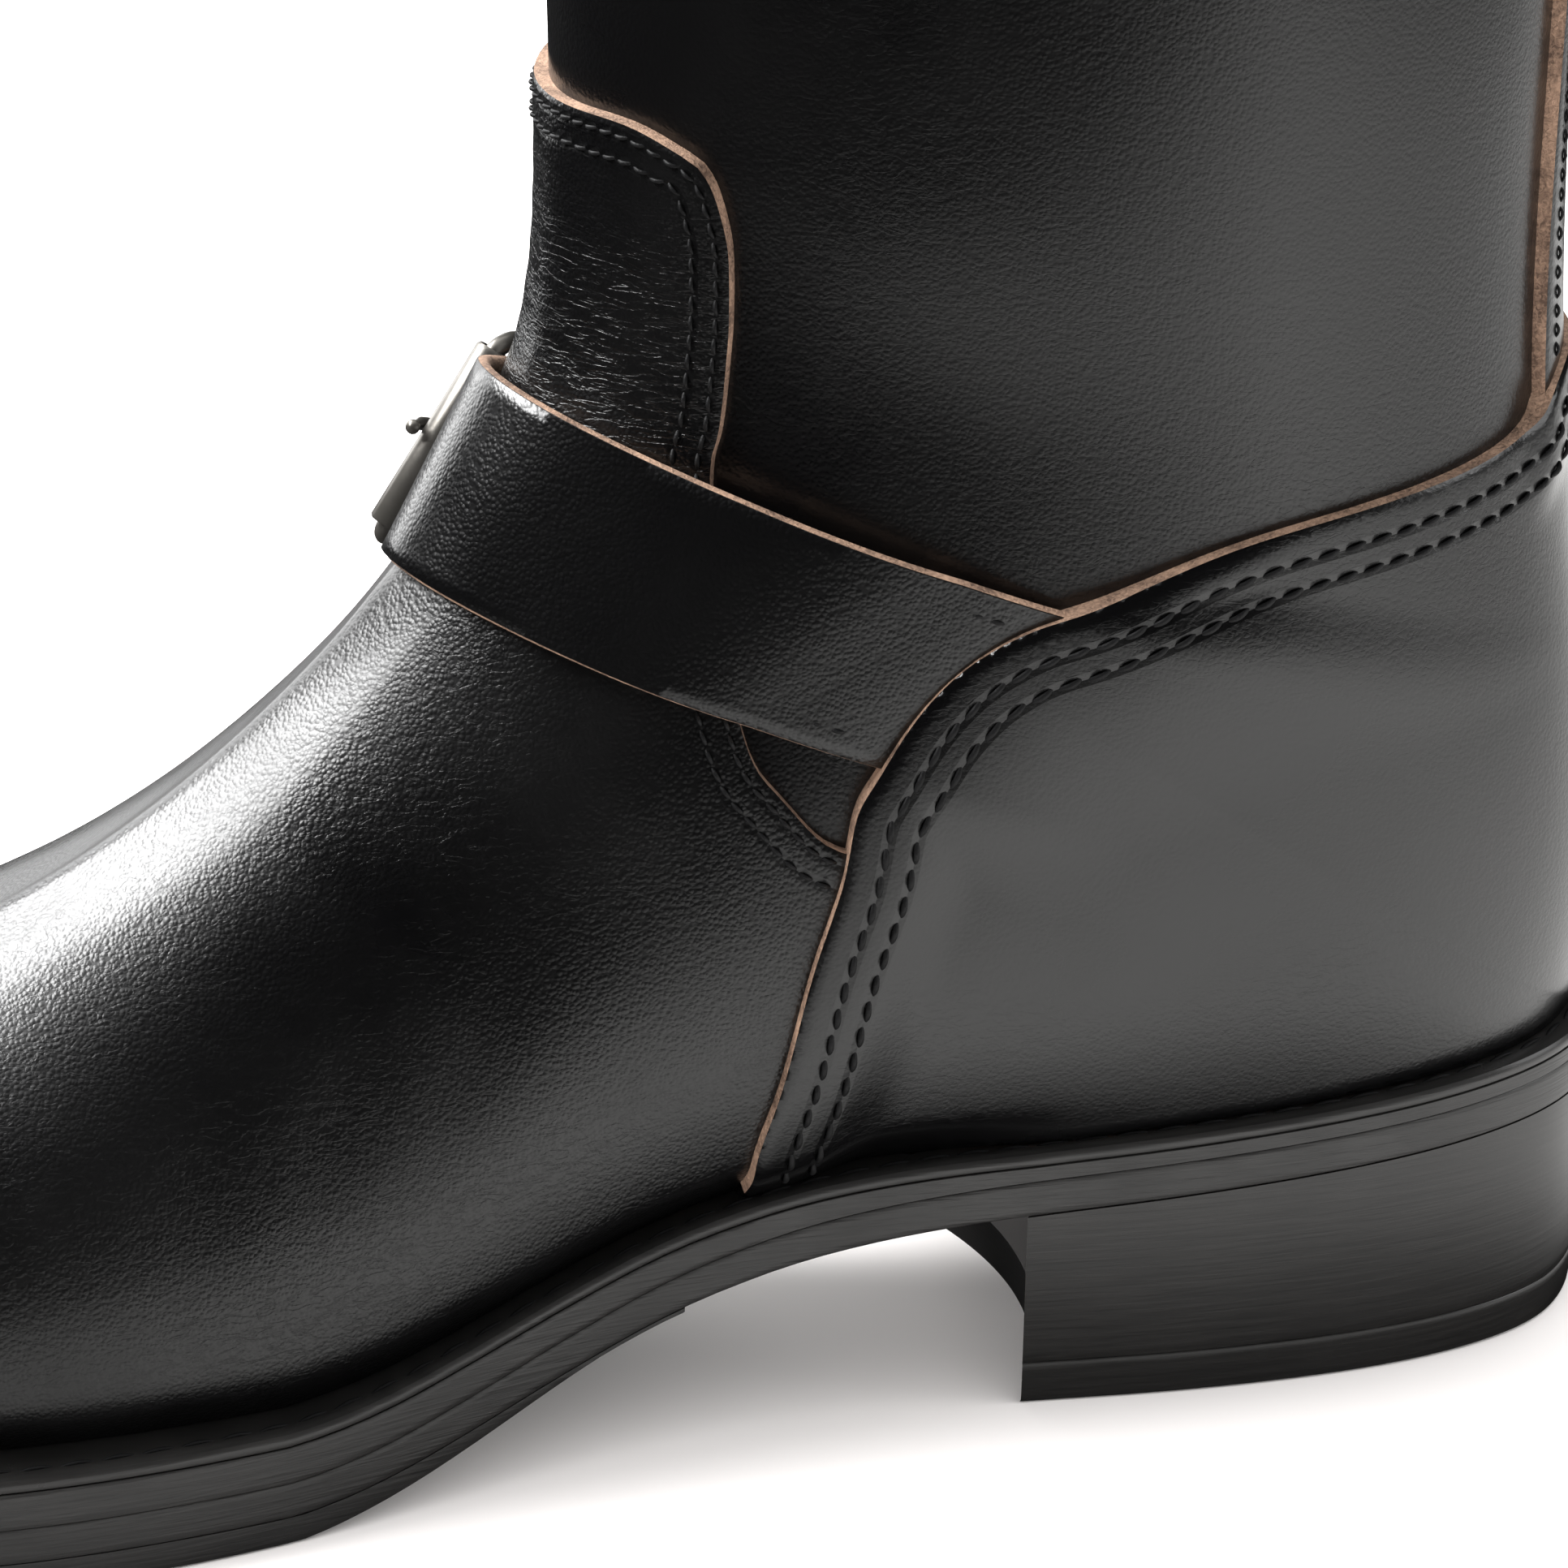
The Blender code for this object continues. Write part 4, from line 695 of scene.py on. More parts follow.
counterRise = {
    "atEdge": (-0.018, -0.006), "levels": (0.86, 0.95), "besideStrap": 0.012, "bandFade": (0.008, 0.036),
    "atStay": (-0.005, 0.0), "stayFade": (0.006, 0.014), "overStay": 0.0013,
}


def counterLift(rows):  # the heel panel climbs over the vamp's edge, the strap's end and the back stay
    edges = np.interp(rows[:, heightAt], counterLine[:, 1], counterLine[:, 0])
    reach, inside = rows[:, stationAt] - edges, rows[:, counterAt]
    low, high = (heightOf(level) for level in counterRise["levels"])
    step = smooth(reach, *counterRise["atEdge"]) * (1 - smooth(rows[:, heightAt], low, high))
    beside = 0.5 * strap["width"] + counterRise["besideStrap"]
    band = 1 - smooth(np.abs(rows[:, strapAt]), 0.45 * strap["width"], beside)
    band *= 1 - smooth(inside, *counterRise["bandFade"])
    overStay = smooth(rows[:, stayAt], *counterRise["atStay"]) * (1 - smooth(inside, *counterRise["stayFade"]))
    climb = np.maximum(last["leather"] * step, last["leather"] * band)
    return last["leather"] + np.maximum(climb, counterRise["overStay"] * overStay)


def vampLift(rows):
    return np.full(len(rows), last["leather"])


def rounded(lift, inside):  # a cut edge rolls off a little
    return lift * (1 - 0.13 * np.exp(-np.maximum(inside, 0) / 0.0005))


def liftedPoints(rows, lift):
    points = rows[:, posAt] + lift[:, None] * rows[:, normAt]
    points[:, 2] = np.maximum(points[:, 2], weltTop(rows[:, stationAt]) + 0.0002)
    return points


def makePanel(name, sheet, column, lift, skin, node):
    for level in (0.0, 0.0006, 0.0016):
        sheet = splitAt(sheet, column, level)
    sheet = keepFaces(sheet, lambda rows: rows[:, column] > 0)
    rows = sheet["rows"]
    top = liftedPoints(rows, rounded(lift(rows), rows[:, column]))
    faces, kinds = list(sheet["faces"]), [0] * len(sheet["faces"])
    pairs = edgePairs(sheet, column, 0.0, True)
    ends = sorted({i for pair in pairs for i in pair})
    levels, number = [top], {}
    for k, share in enumerate((0.5, 0.0)):  # the raw wall below the cut edge
        number[k] = {i: len(rows) + k * len(ends) + n for n, i in enumerate(ends)}
        height = lift(rows[ends]) * share
        levels.append(liftedPoints(rows[ends], height))
    for i, j in pairs:
        faces += [(j, i, number[0][i], number[0][j]), (number[0][j], number[0][i], number[1][i], number[1][j])]
        low = rows[i, heightAt] < weltTop(rows[i, stationAt]) + 0.0035
        kinds += [0, 0] if low else [1, 1]
    edge = np.concatenate([rows[:, column], np.full(2 * len(ends), -1.0)])
    meshPiece(name, np.concatenate(levels), faces, (skin, rawEdge), node, kinds, 55, {"edge": edge})
    return sheet


def stitchTemplate(thread):  # one stitch: a short arc of thread, dipping into its holes
    rings, sides, points = 7, 7, []
    for k in range(rings):
        share = k / (rings - 1)
        radius = thread["radius"] * (0.45 + 0.55 * math.sin(math.pi * share) ** 0.5)
        along, up = (share - 0.5) * thread["long"], thread["rise"] * math.sin(math.pi * share) - thread["sink"]
        for n in range(sides):
            turn = 2 * math.pi * n / sides
            points.append((along, radius * math.cos(turn), up + 0.75 * radius * math.sin(turn)))
    return np.array(points), ringFaces(rings, sides)


def stitchPiece(name, runs, thread, node):  # runs: lines of points with their normals
    template, patternFaces = stitchTemplate(thread)
    points, faces = [], []
    for line, normals in runs:
        run = runOf(line)
        count = max(int(round(run[-1] / thread["pitch"])), 1)
        at = (np.arange(count) + 0.5) * run[-1] / count

        def read(values, places):
            return np.stack([np.interp(places, run, values[:, k]) for k in range(3)], 1)

        centre, up = read(line, at), unit(read(normals, at))
        ahead = unit(read(line, at + 0.0004) - read(line, at - 0.0004))
        side = unit(np.cross(up, ahead))
        lean = math.tan(thread["lean"])
        ahead = unit(ahead + lean * side)
        side = unit(np.cross(up, ahead))
        for c, a, s, u in zip(centre, ahead, side, up):
            first = len(points) * len(template)
            points.append(c + template[:, :1] * a + template[:, 1:2] * s + template[:, 2:] * u)
            faces += [tuple(first + i for i in face) for face in patternFaces]
    meshPiece(name, np.concatenate(points), faces, (blackThread,), node, sharp=80, stands=False)


def rowsAlong(sheet, column, levels, lift, shown):  # lines on a panel at set distances from its edge
    runs = []
    for level in levels:
        near = keepFaces(sheet, lambda rows: np.abs(rows[:, column] - level) < 0.003)
        near = splitAt(near, column, level)
        for chain in chainsOf(edgePairs(near, column, level, False)):
            rows = near["rows"][chain]
            line = liftedPoints(rows, rounded(lift(rows), rows[:, column]))
            keep = shown(rows)
            cuts = np.nonzero(np.diff(keep.astype(int)))[0] + 1
            for part in np.split(np.arange(len(rows)), cuts):
                if len(part) > 4 and keep[part[0]]:
                    runs.append((line[part], rows[part, normAt]))
    return runs


threads = {
    "fine": {"pitch": 0.00255, "long": 0.0022, "radius": 0.00030, "rise": 0.00042, "sink": 0.00014, "lean": 0.10},
    "counter": {"pitch": 0.0038, "long": 0.0032, "radius": 0.00042, "rise": 0.00052, "sink": 0.00018, "lean": 0.12},
    "welt": {"pitch": 0.0052, "long": 0.0042, "radius": 0.00034, "rise": 0.00022, "sink": 0.00022, "lean": 0.06},
}

# the shaft and its lining
shaftCut = {
    "cell": 0.0022, "columns": 120, "hidden": 0.004, "wall": 0.0022, "liningCell": 0.0042, "liningColumns": 60,
    "collarRow": 0.006,
    "collarRoll": ((0.0004, 0.00025), (0.0011, 0.00025), (0.0018, 0.00025), (0.0022, 0.0), (0.0022, -0.012)),
}
skin = makeSheet(placesOver(0.0, 1.0, shaftCut["cell"]), shaftCut["columns"])
hidden = shaftCut["hidden"]
skin = keepFaces(skin, lambda rows: np.maximum(rows[:, vampAt], rows[:, counterAt]) < hidden)
rows = skin["rows"]
points, faces = rows[:, posAt], list(skin["faces"])
kinds = [0] * len(faces)
collar = edgePairs(skin, heightAt, last["shaftHeight"], True)
collarEnds = sorted({i for pair in collar for i in pair})
number = {i: n for n, i in enumerate(collarEnds)}
layers, first = [points], len(points)
flatNormals = unit(rows[collarEnds][:, normAt] * np.array([1, 1, 0]))
for inward, rise in shaftCut["collarRoll"]:  # the collar's cut edge, and its turn down inside
    layers.append(points[collarEnds] - flatNormals * inward + np.array([0, 0, rise]))
steps = range(len(shaftCut["collarRoll"]))
for pair in collar:
    line, other = ([end] + [first + step * len(collarEnds) + number[end] for step in steps] for end in pair)
    for step in steps:
        faces.append((other[step], line[step], line[step + 1], other[step + 1]))
        kinds.append(2 if step == steps[-1] else 1)
meshPiece("bootUpper", np.concatenate(layers), faces, (shaftBlack, rawEdge, liningTan), "upper", kinds, 60)
lining = makeSheet(placesOver(0.0, 1.0, shaftCut["liningCell"]), shaftCut["liningColumns"])
rows = lining["rows"]
inner = rows[:, posAt] - shaftCut["wall"] * rows[:, normAt]
inner[:, 2] = np.maximum(inner[:, 2], weltTop(rows[:, stationAt]) + 0.0004)
inner[:, 2] = np.minimum(inner[:, 2], last["shaftHeight"] - 0.0004)
meshPiece("bootLining", inner, [face[::-1] for face in lining["faces"]], (liningTan,), "upper", sharp=70)
collarLevels = (last["shaftHeight"] - shaftCut["collarRow"],)
flush, everywhere = lambda rows: np.zeros(len(rows)), lambda rows: np.full(len(rows), True)
stitchPiece("collarStitches", rowsAlong(skin, heightAt, collarLevels, flush, everywhere), threads["fine"], "upper")
print("shaft and lining sewn")


def sewPanel(names, cut, column, lift, skin, node, near, shown, thread="fine"):
    sheet = keepFaces(makeSheet(placesOver(cut["first"], cut["top"], cut["cell"]), cut["columns"]), near)
    sheet = makePanel(names[0], sheet, column, lift, skin, node)
    stitchPiece(names[1], rowsAlong(sheet, column, cut["rows"], lift, shown), threads[thread], node)
    print(names[0], "sewn")


# the vamp with its tab
vampCut = {"first": 0.0, "top": 0.835, "cell": 0.0013, "columns": 84, "rows": leather["vamp"]["rows"]}
sewPanel(
    ("bootVamp", "vampStitches"), vampCut, vampAt, vampLift, vampBlack, "vamp",
    lambda rows: (rows[:, vampAt] > -0.004) & (rows[:, counterAt] < 0.006),
    lambda rows: (rows[:, counterAt] < -0.0002) & (rows[:, heightAt] > 0.06),
)

# the heel counter
counterCut = {"first": 0.30, "top": 0.885, "cell": 0.0015, "columns": 110, "rows": leather["counter"]["rows"]}
sewPanel(
    ("bootCounter", "counterStitches"), counterCut, counterAt, counterLift, counterBlack, "counter",
    lambda rows: rows[:, counterAt] > -0.004,
    lambda rows: rows[:, heightAt] > weltTop(rows[:, stationAt]) + 0.004, "counter",
)

# the stay over the back seam
stayCut = {"first": heelPlace + 0.02, "top": 1.0, "cell": 0.0016, "columns": 120, "rows": (0.0030,)}
sewPanel(
    ("backStay", "stayStitches"), stayCut, stayAt, vampLift, shaftBlack, "back_stay",
    lambda rows: (rows[:, stayAt] > -0.004) & (rows[:, counterAt] < 0.005),
    lambda rows: rows[:, counterAt] < -0.0004,
)

# the way of the straps over the instep
grid = skinGrid(np.linspace(0.2, 1, 170), 70)[0][:, 4:-4]
stations = toY(grid[:, :, 1])
acrossGrid = grid[:, :, 2] * math.cos(strap["tilt"]) - stations * math.sin(strap["tilt"])
lines = []
for plane in (strapMiddle - strap["width"] / 2, strapMiddle, strapMiddle + strap["width"] / 2):
    line = []
    for j in range(grid.shape[1]):
        below = np.nonzero(acrossGrid[:, j] < plane)[0][-1]
        share = (plane - acrossGrid[below, j]) / (acrossGrid[below + 1, j] - acrossGrid[below, j])
        line.append(grid[below, j] + share * (grid[below + 1, j] - grid[below, j]))
    lines.append(np.array(line))
lowLine, midLine, highLine = lines
strapRun = runOf(midLine)
strapRun -= strapRun[len(strapRun) // 2]
strapOut = unit(np.cross(np.gradient(midLine, axis=0), highLine - lowLine))
strapOut *= np.sign(strapOut[len(strapOut) // 2][2])
strapBulge = np.maximum(((midLine - (lowLine + highLine) / 2) * strapOut).sum(axis=1), 0)


def onStrap(along, across, height, flat=False):  # along from the crest, across from the middle, off the leather
    along, across, height = (np.asarray(v, float) for v in np.broadcast_arrays(along, across, height))

    def read(values):
        return np.stack([np.interp(along, strapRun, values[:, k]) for k in range(3)], -1)

    low, high, out = read(lowLine), read(highLine), unit(read(strapOut))
    dips = np.array(strap["dip"])  # the strap sinks a little towards the buckle
    dip = curveThrough(dips[:, 0], dips[:, 1], np.clip(along, dips[0, 0], dips[-1, 0]))
    share = 0.5 + (across - dip) / strap["width"]
    bulge = np.interp(along, strapRun, strapBulge)
    if not flat:
        crown = 0.25 * (1 - (2 * share - 1) ** 2) + 0.75 * np.cos(math.pi * (share - 0.5)) ** 2
        bulge = bulge * np.where(np.abs(2 * share - 1) < 1, crown, 0)
    return low + share[..., None] * (high - low) + out * (height + bulge)[..., None]


def finePath(path, count):
    path = np.array(path, float)
    run = runOf(path)
    at = np.linspace(0, run[-1], count)
    return np.stack([curveThrough(run, path[:, k], at) for k in range(2)], 1)


def bandPiece(name, path, thickness, node, shares, under=1):
    # one ring per step of the path: black top, raw cut sides, and below raw flesh, or black where under is 0
    ahead = unit(np.gradient(path, axis=0))
    upward = np.stack([-ahead[:, 1], ahead[:, 0]], 1)
    half, r = strap["width"] / 2 - last["gap"], 0.0003
    middle, high, brow = thickness * 0.5, thickness - r * 1.6, thickness - r * 0.45
    ring = [(-1, -r, middle, 1), (-1, 0, high, 1), (-1, r * 0.35, brow, 0)]
    ring += [(share, 0, thickness, 0) for share in np.linspace(-1, 1, 15) * 0.985]
    ring += [(1, -r * 0.35, brow, 1), (1, 0, high, 1), (1, r, middle, 1), (1, 0, r, under)]
    ring += [(-share, 0, 0, under) for share in np.linspace(-0.97, 0.97, 7)] + [(-1, 0, r, 1)]
    points, count = [], len(ring)
    for k in range(len(path)):
        side = np.array([(s * half * shares[k] + out, up) for s, out, up, _ in ring])
        along = path[k, 0] + upward[k, 0] * side[:, 1]
        height = path[k, 1] + upward[k, 1] * side[:, 1]
        points.append(onStrap(along, side[:, 0], height))
    faces, end = ringFaces(len(path), count), (len(path) - 1) * count
    kinds = [kind for _, _, _, kind in ring] * (len(path) - 1) + [1, 1]
    faces += [tuple(range(count))[::-1], tuple(range(end, end + count))]
    meshPiece(name, np.concatenate(points), faces, (strapBlack, rawEdge), node, kinds, 55)


buckle = {
    "roller": 0.0188, "bar": 0.0390, "skew": 0.12, "wire": 0.0013, "rollerRadius": 0.0024, "bore": 0.0017,
    "barHeight": 0.0058, "side": 0.0004, "prong": 0.0009, "prongTip": 0.0036,
    "keeper": 0.0495, "keeperWidth": 0.009,
    "keeperWall": 0.0011, "keeperBend": 0.0016, "tail": 0.063, "tailPoint": 0.012, "rest": 0.0025,
    "chape": 0.0015, "chapeRest": 0.0040,
}
gap = last["gap"]
rollerHeight = buckle["rest"] + strap["thickness"] + gap + buckle["rollerRadius"]
overProng = buckle["barHeight"] + buckle["wire"] + 2 * buckle["prong"] + 3 * gap
tailRest = buckle["chapeRest"] + buckle["chape"] + 0.0009
rest, barAt, rollerAt, keeperAt = buckle["rest"], buckle["bar"], buckle["roller"], buckle["keeper"]
halfKeeper = buckle["keeperWidth"] / 2
path = finePath([
    (-0.081, -0.0001), (-0.073, 0.0006), (-0.066, 0.0011), (-0.060, 0.0015), (-0.052, 0.0022),
    (-0.036, rest), (-0.018, rest), (-0.004, rest + 0.0011), (rollerAt, rest),
    (0.5 * (rollerAt + barAt), 0.45 * (rest + overProng)), (barAt, overProng), (barAt + 0.007, tailRest + 0.0012),
    (keeperAt - halfKeeper, tailRest), (keeperAt + halfKeeper, tailRest), (buckle["tail"], tailRest),
], 170)
toEnd = np.clip((buckle["tail"] - path[:, 0]) / buckle["tailPoint"], 0, 1)
pointed = 0.28 + 0.72 * np.sqrt(1 - (1 - toEnd) ** 2)
bandPiece("instepStrap", path, strap["thickness"], "instep_strap", pointed)
radius, top = buckle["wire"] + gap, buckle["chapeRest"] + buckle["chape"]
turn = np.radians((-60, -30, 0, 30, 60))
fold = [(barAt - radius * math.cos(a), buckle["barHeight"] + radius * math.sin(a)) for a in turn]
path = finePath([
    (0.084, 0.0018), (0.075, 0.0022), (0.067, 0.0030), (0.060, 0.0042),
    (keeperAt + halfKeeper, top), (keeperAt - halfKeeper, top),
    (barAt + 0.005, buckle["barHeight"] - radius + 0.0004), (barAt + 0.001, buckle["barHeight"] - radius), *fold,
    (barAt + 0.001, buckle["barHeight"] + radius), (barAt + 0.007, top + gap),
], 120)
bandPiece("buckleStrap", path, buckle["chape"], "buckle_strap", np.ones(len(path)), under=0)


def tubePiece(name, path, radii, node, closed, sides=16):
    path, radii = np.asarray(path, float), np.broadcast_to(radii, len(path))
    ahead = unit(np.roll(path, -1, 0) - np.roll(path, 1, 0) if closed else np.gradient(path, axis=0))
    side = unit(np.cross(ahead[0], (0.3, 0.2, 0.9)))
    points, count = [], len(path)
    for k in range(count):
        side = unit(side - ahead[k] * (side @ ahead[k]))
        up = np.cross(ahead[k], side)
        for n in range(sides):
            turn = 2 * math.pi * n / sides
            points.append(path[k] + radii[k] * (math.cos(turn) * side + math.sin(turn) * up))
    faces = ringFaces(count, sides, closed)
    if not closed:
        faces += [tuple(range(sides))[::-1], tuple((count - 1) * sides + n for n in range(sides))]
    meshPiece(name, points, faces, (nickel,), node, sharp=60)


def cornerArc(centre, radius, first, final, steps=7):
    turns = np.radians(np.linspace(first, final, steps))
    return [(centre[0] + radius * math.cos(a), centre[1] + radius * math.sin(a)) for a in turns]


half, bend = strap["width"] / 2 + buckle["side"], 2 * buckle["wire"]
ends, plan = (rollerAt + bend, barAt - bend), []
corners = ((ends[0], half - bend), (ends[1], half - bend), (ends[1], bend - half), (ends[0], bend - half))
for corner, first in zip(corners, (180, 90, 0, -90)):
    plan += cornerArc(corner, bend, first, first - 90)
plan = np.array(plan)
share = (plan[:, 0] - rollerAt) / (barAt - rollerAt)
plan[:, 0] -= buckle["skew"] * plan[:, 1] * (1 - share)
frameWay = onStrap(plan[:, 0], plan[:, 1], rollerHeight + share * (buckle["barHeight"] - rollerHeight), True)
tubePiece("buckleFrame", frameWay, buckle["wire"], "buckle_frame", True)

ends = np.array([-0.46, 0.46]) * strap["width"]
ends = onStrap(rollerAt - buckle["skew"] * ends, ends, rollerHeight, True)
axis, turns = unit(ends[1] - ends[0]), 40
side = unit(np.cross(axis, (0, 0, 1)))
up, rollerLong = np.cross(axis, side), np.linalg.norm(ends[1] - ends[0])
outer, bore = buckle["rollerRadius"], buckle["bore"]
profile = [(outer - 0.0003, 0), (outer, 0.0004), (outer, rollerLong - 0.0004), (outer - 0.0003, rollerLong)]
profile += [(bore, rollerLong), (bore, 0)]
points = []
for radius, at in profile:
    for n in range(turns):
        turn = 2 * math.pi * n / turns
        points.append(ends[0] + axis * at + radius * (math.cos(turn) * side + math.sin(turn) * up))
faces = ringFaces(len(profile), turns, True)
meshPiece("buckleRoller", points, faces, (nickel,), "buckle_roller", sharp=40)

around = buckle["wire"] + gap + buckle["prong"]
path = cornerArc((barAt, buckle["barHeight"]), around, -35, 75, 10)
path += [(barAt, buckle["barHeight"] + around), (rollerAt, rollerHeight + outer + gap + buckle["prong"])]
onRoller = path[-1][1]
bent = ((0.0018, 0.0004), (0.0027, 0.0007), (0.0034, 0.0008))
path += [(rollerAt - ahead, onRoller - down) for ahead, down in bent]
path += [(rollerAt - buckle["prongTip"], path[-1][1]), (rollerAt - buckle["prongTip"] - 0.0004, path[-1][1])]
path = np.array(path)
radii = np.full(len(path), buckle["prong"])
radii[-5:] = 0.0006, 0.0007, 0.0010, 0.0009, 0.0003
tubePiece("buckleProng", onStrap(path[:, 0], 0, path[:, 1], True), radii, "buckle_prong", False, 12)

low, high = rest + buckle["keeperWall"], tailRest + strap["thickness"] + gap
sideAt, bend, loops = strap["width"] / 2 + 2 * gap, buckle["keeperBend"], {}
for grow in (0.0, buckle["keeperWall"]):
    radius = bend + grow
    loop = cornerArc((low + bend, -sideAt + bend), radius, 180, 270)
    loop += cornerArc((high - bend, -sideAt + bend), radius, 270, 360)
    loop += cornerArc((high - bend, sideAt - bend), radius, 0, 90)
    loops[grow > 0] = np.array(loop + cornerArc((low + bend, sideAt - bend), radius, 90, 180))
mid = 0.5 * (loops[True] + loops[False])
rings = [(loops[True], -0.96), (mid, -1.0), (loops[False], -1.0), (loops[False], 0.0)]
rings += [(loops[False], 1.0), (mid, 1.0), (loops[True], 0.96), (loops[True], 0.0)]
points = [onStrap(keeperAt + share * halfKeeper, loop[:, 1], loop[:, 0], True) for loop, share in rings]
kinds = [1] * 6 * len(mid) + [0] * 2 * len(mid)  # black outside, raw edges and flesh side
faces = ringFaces(len(rings), len(mid), True)
meshPiece("strapKeeper", np.concatenate(points), faces, (strapBlack, rawEdge), "strap_keeper", kinds, 45)

# the box of stitches that holds the strap's inner end
boxStitch = {
    "end": -0.0480, "lowEnd": -0.0610, "inset": 0.0036, "under": -0.071,
    "along": (-0.080, -0.066, -0.056, -0.046, -0.034), "rise": (0.0006, 0.0007, 0.0011, 0.0022, rest),
}
edgeIn = strap["width"] / 2 - boxStitch["inset"]
box = [(boxStitch["under"], edgeIn), (boxStitch["end"], edgeIn)]
box += [(boxStitch["lowEnd"], -edgeIn), (boxStitch["under"], -edgeIn)]
runs, share = [], np.linspace(0, 1, 40)
for start, end in zip(box, box[1:]):
    along, across = (start[k] + share * (end[k] - start[k]) for k in range(2))
    height = np.interp(along, boxStitch["along"], boxStitch["rise"])
    line = onStrap(along, across, height + strap["thickness"] + 0.00003)
    normals = unit(onStrap(along, across, height + 0.005) - line)
    runs.append((line, normals))
stitchPiece("strapStitches", runs, threads["fine"], "instep_strap")
print("straps buckled")


def soleOutline(inset, count=130):  # plan of the sole's edge from the heel's back, moved inwards
    shares = (1 - np.cos(math.pi * np.arange(count + 1) / count)) / 2
    inner = np.stack([soleHalf(shares, 1), length * shares], 1)
    outer = np.stack([-soleHalf(shares, 2), length * shares], 1)
    return insetOutline(np.concatenate([inner, outer[-2:0:-1]]), inset)


def insetOutline(plan, inset):
    along = unit(np.roll(plan, -1, axis=0) - np.roll(plan, 1, axis=0))
    inward = np.stack([-along[:, 1], along[:, 0]], 1)
    if ((plan.mean(axis=0) - plan) * inward).sum() < 0:
        inward = -inward
    return plan + inward * inset


def outwardFaces(points, faces):
    points = np.asarray(points)
    middle, turned = points.mean(axis=0), 0.0
    for face in faces[:: max(len(faces) // 400, 1)]:
        corners = points[list(face)]
        turned += np.cross(corners[1] - corners[0], corners[2] - corners[0]) @ (corners.mean(axis=0) - middle)
    return faces if turned > 0 else [face[::-1] for face in faces]


def layerPiece(name, rings, materials, node, ladder=True, sharp=38):
    count, points = len(rings[0]), np.concatenate(rings)
    faces = ringFaces(len(rings), count)
    for start, turned in ((0, True), ((len(rings) - 1) * count, False)):
        caps = [tuple(range(start, start + count))]
        if ladder:  # quads across from one side to the other
            caps = [
                (start + i, start + i + 1, start + count - i - 1, start + (count - i) % count)
                for i in range(count // 2)
            ]
        for cap in caps:
            cap = tuple(dict.fromkeys(cap))
            if len(cap) > 2:
                faces.append(cap[::-1] if turned else cap)
    return meshPiece(name, points, outwardFaces(points, faces), materials, node, sharp=sharp)


def lying(plan, heights):
    return np.stack([plan[:, 0], toY(plan[:, 1]), heights], 1)


def fullLayer(bottom, top, sides):
    rings = []
    for share, inset in sides:
        plan = soleOutline(inset)
        low, high = bottom(plan[:, 1]), top(plan[:, 1])
        rings.append(lying(plan, low + share * (high - low)))
    return rings


sole = {
    "round": ((0, 0.00008), (0.03, 0), (0.2, 0), (0.8, 0), (0.97, 0), (1, 0.00008)),
    "halfSoleStart": 0.430, "halfSoleBow": 0.003, "halfSoleEdge": 0.0008, "stitchInset": 0.0026,
    "heelTaper": 0.0026, "topLift": 0.0062, "breast": 0.007,
}
layerPiece("outsoleLayer", fullLayer(soleRise, outsoleTop, sole["round"]), (soleEdge,), "outsole")
midsoleRings = fullLayer(lambda s: outsoleTop(s) + 0.00005, midsoleTop, sole["round"])
layerPiece("midsoleLayer", midsoleRings, (soleEdge,), "midsole")
weltSides = ((0, 0.0001), (0.1, 0), (0.6, 0), (0.88, 0.0003), (1, 0.0011))
weltRings = fullLayer(lambda s: midsoleTop(s) + 0.0002, weltTop, weltSides)
weltRings += [lying(flat, weltTop(flat[:, 1]) - 0.0001) for flat in (soleOutline(0.0024), soleOutline(0.0125))]
layerPiece("weltStrip", weltRings, (weltBlack,), "welt")
plan = soleOutline(sole["stitchInset"], 300)
line = lying(plan, weltTop(plan[:, 1]) + 0.00005)[plan[:, 1] > 0.02 * length]
stitchPiece("weltStitches", [(line, np.tile((0.0, 0.0, 1.0), (len(line), 1)))], threads["welt"], "welt")

start = math.acos(1 - 2 * sole["halfSoleStart"])


def halfSolePlan(inset, count=90):
    shares = (1 - np.cos(np.linspace(start, math.pi, count))) / 2
    inner = np.stack([soleHalf(shares, 1), length * shares], 1)
    outer = np.stack([-soleHalf(shares, 2), length * shares], 1)
    across = np.linspace(0, 1, 17)[1:-1]
    bow = np.stack([
        outer[0, 0] + across * (inner[0, 0] - outer[0, 0]),
        inner[0, 1] - sole["halfSoleBow"] * np.sin(math.pi * across),
    ], 1)
    return insetOutline(np.concatenate([bow[7:], inner, outer[-2::-1], bow[:7]]), inset)


rings = []
for share, inset in ((0, 0.0008), (0.08, 0.0002), (0.3, 0), (1, 0)):
    plan = halfSolePlan(inset)
    top = soleRise(plan[:, 1])
    deep = np.maximum(layerAt(plan[:, 1], 4, last["tread"]), sole["halfSoleEdge"])
    rings.append(lying(plan, top - deep + share * (deep - 0.0001)))
layerPiece("halfSoleLayer", rings, (halfSoleEdge,), "half_sole")


def heelPlan(inset, count=60):
    plan = soleOutline(inset, 400)
    split = len(plan) // 2
    front = last["heelLength"]
    sides = []
    for side in (plan[: split + 1], np.concatenate([plan[:1], plan[:split - 1 : -1]])):
        run = runOf(side)
        reach = np.interp(front, side[:, 1], run)
        at = np.linspace(0, reach, count)
        sides.append(np.stack([np.interp(at, run, side[:, k]) for k in range(2)], 1))
    inner, outer = sides
    across = np.linspace(0, 1, 34)[1:-1]
    breast = np.stack([
        inner[-1, 0] + across * (outer[-1, 0] - inner[-1, 0]),
        front - sole["breast"] * np.sin(math.pi * across) ** 0.8,
    ], 1)
    return np.concatenate([inner, breast, outer[:0:-1]])


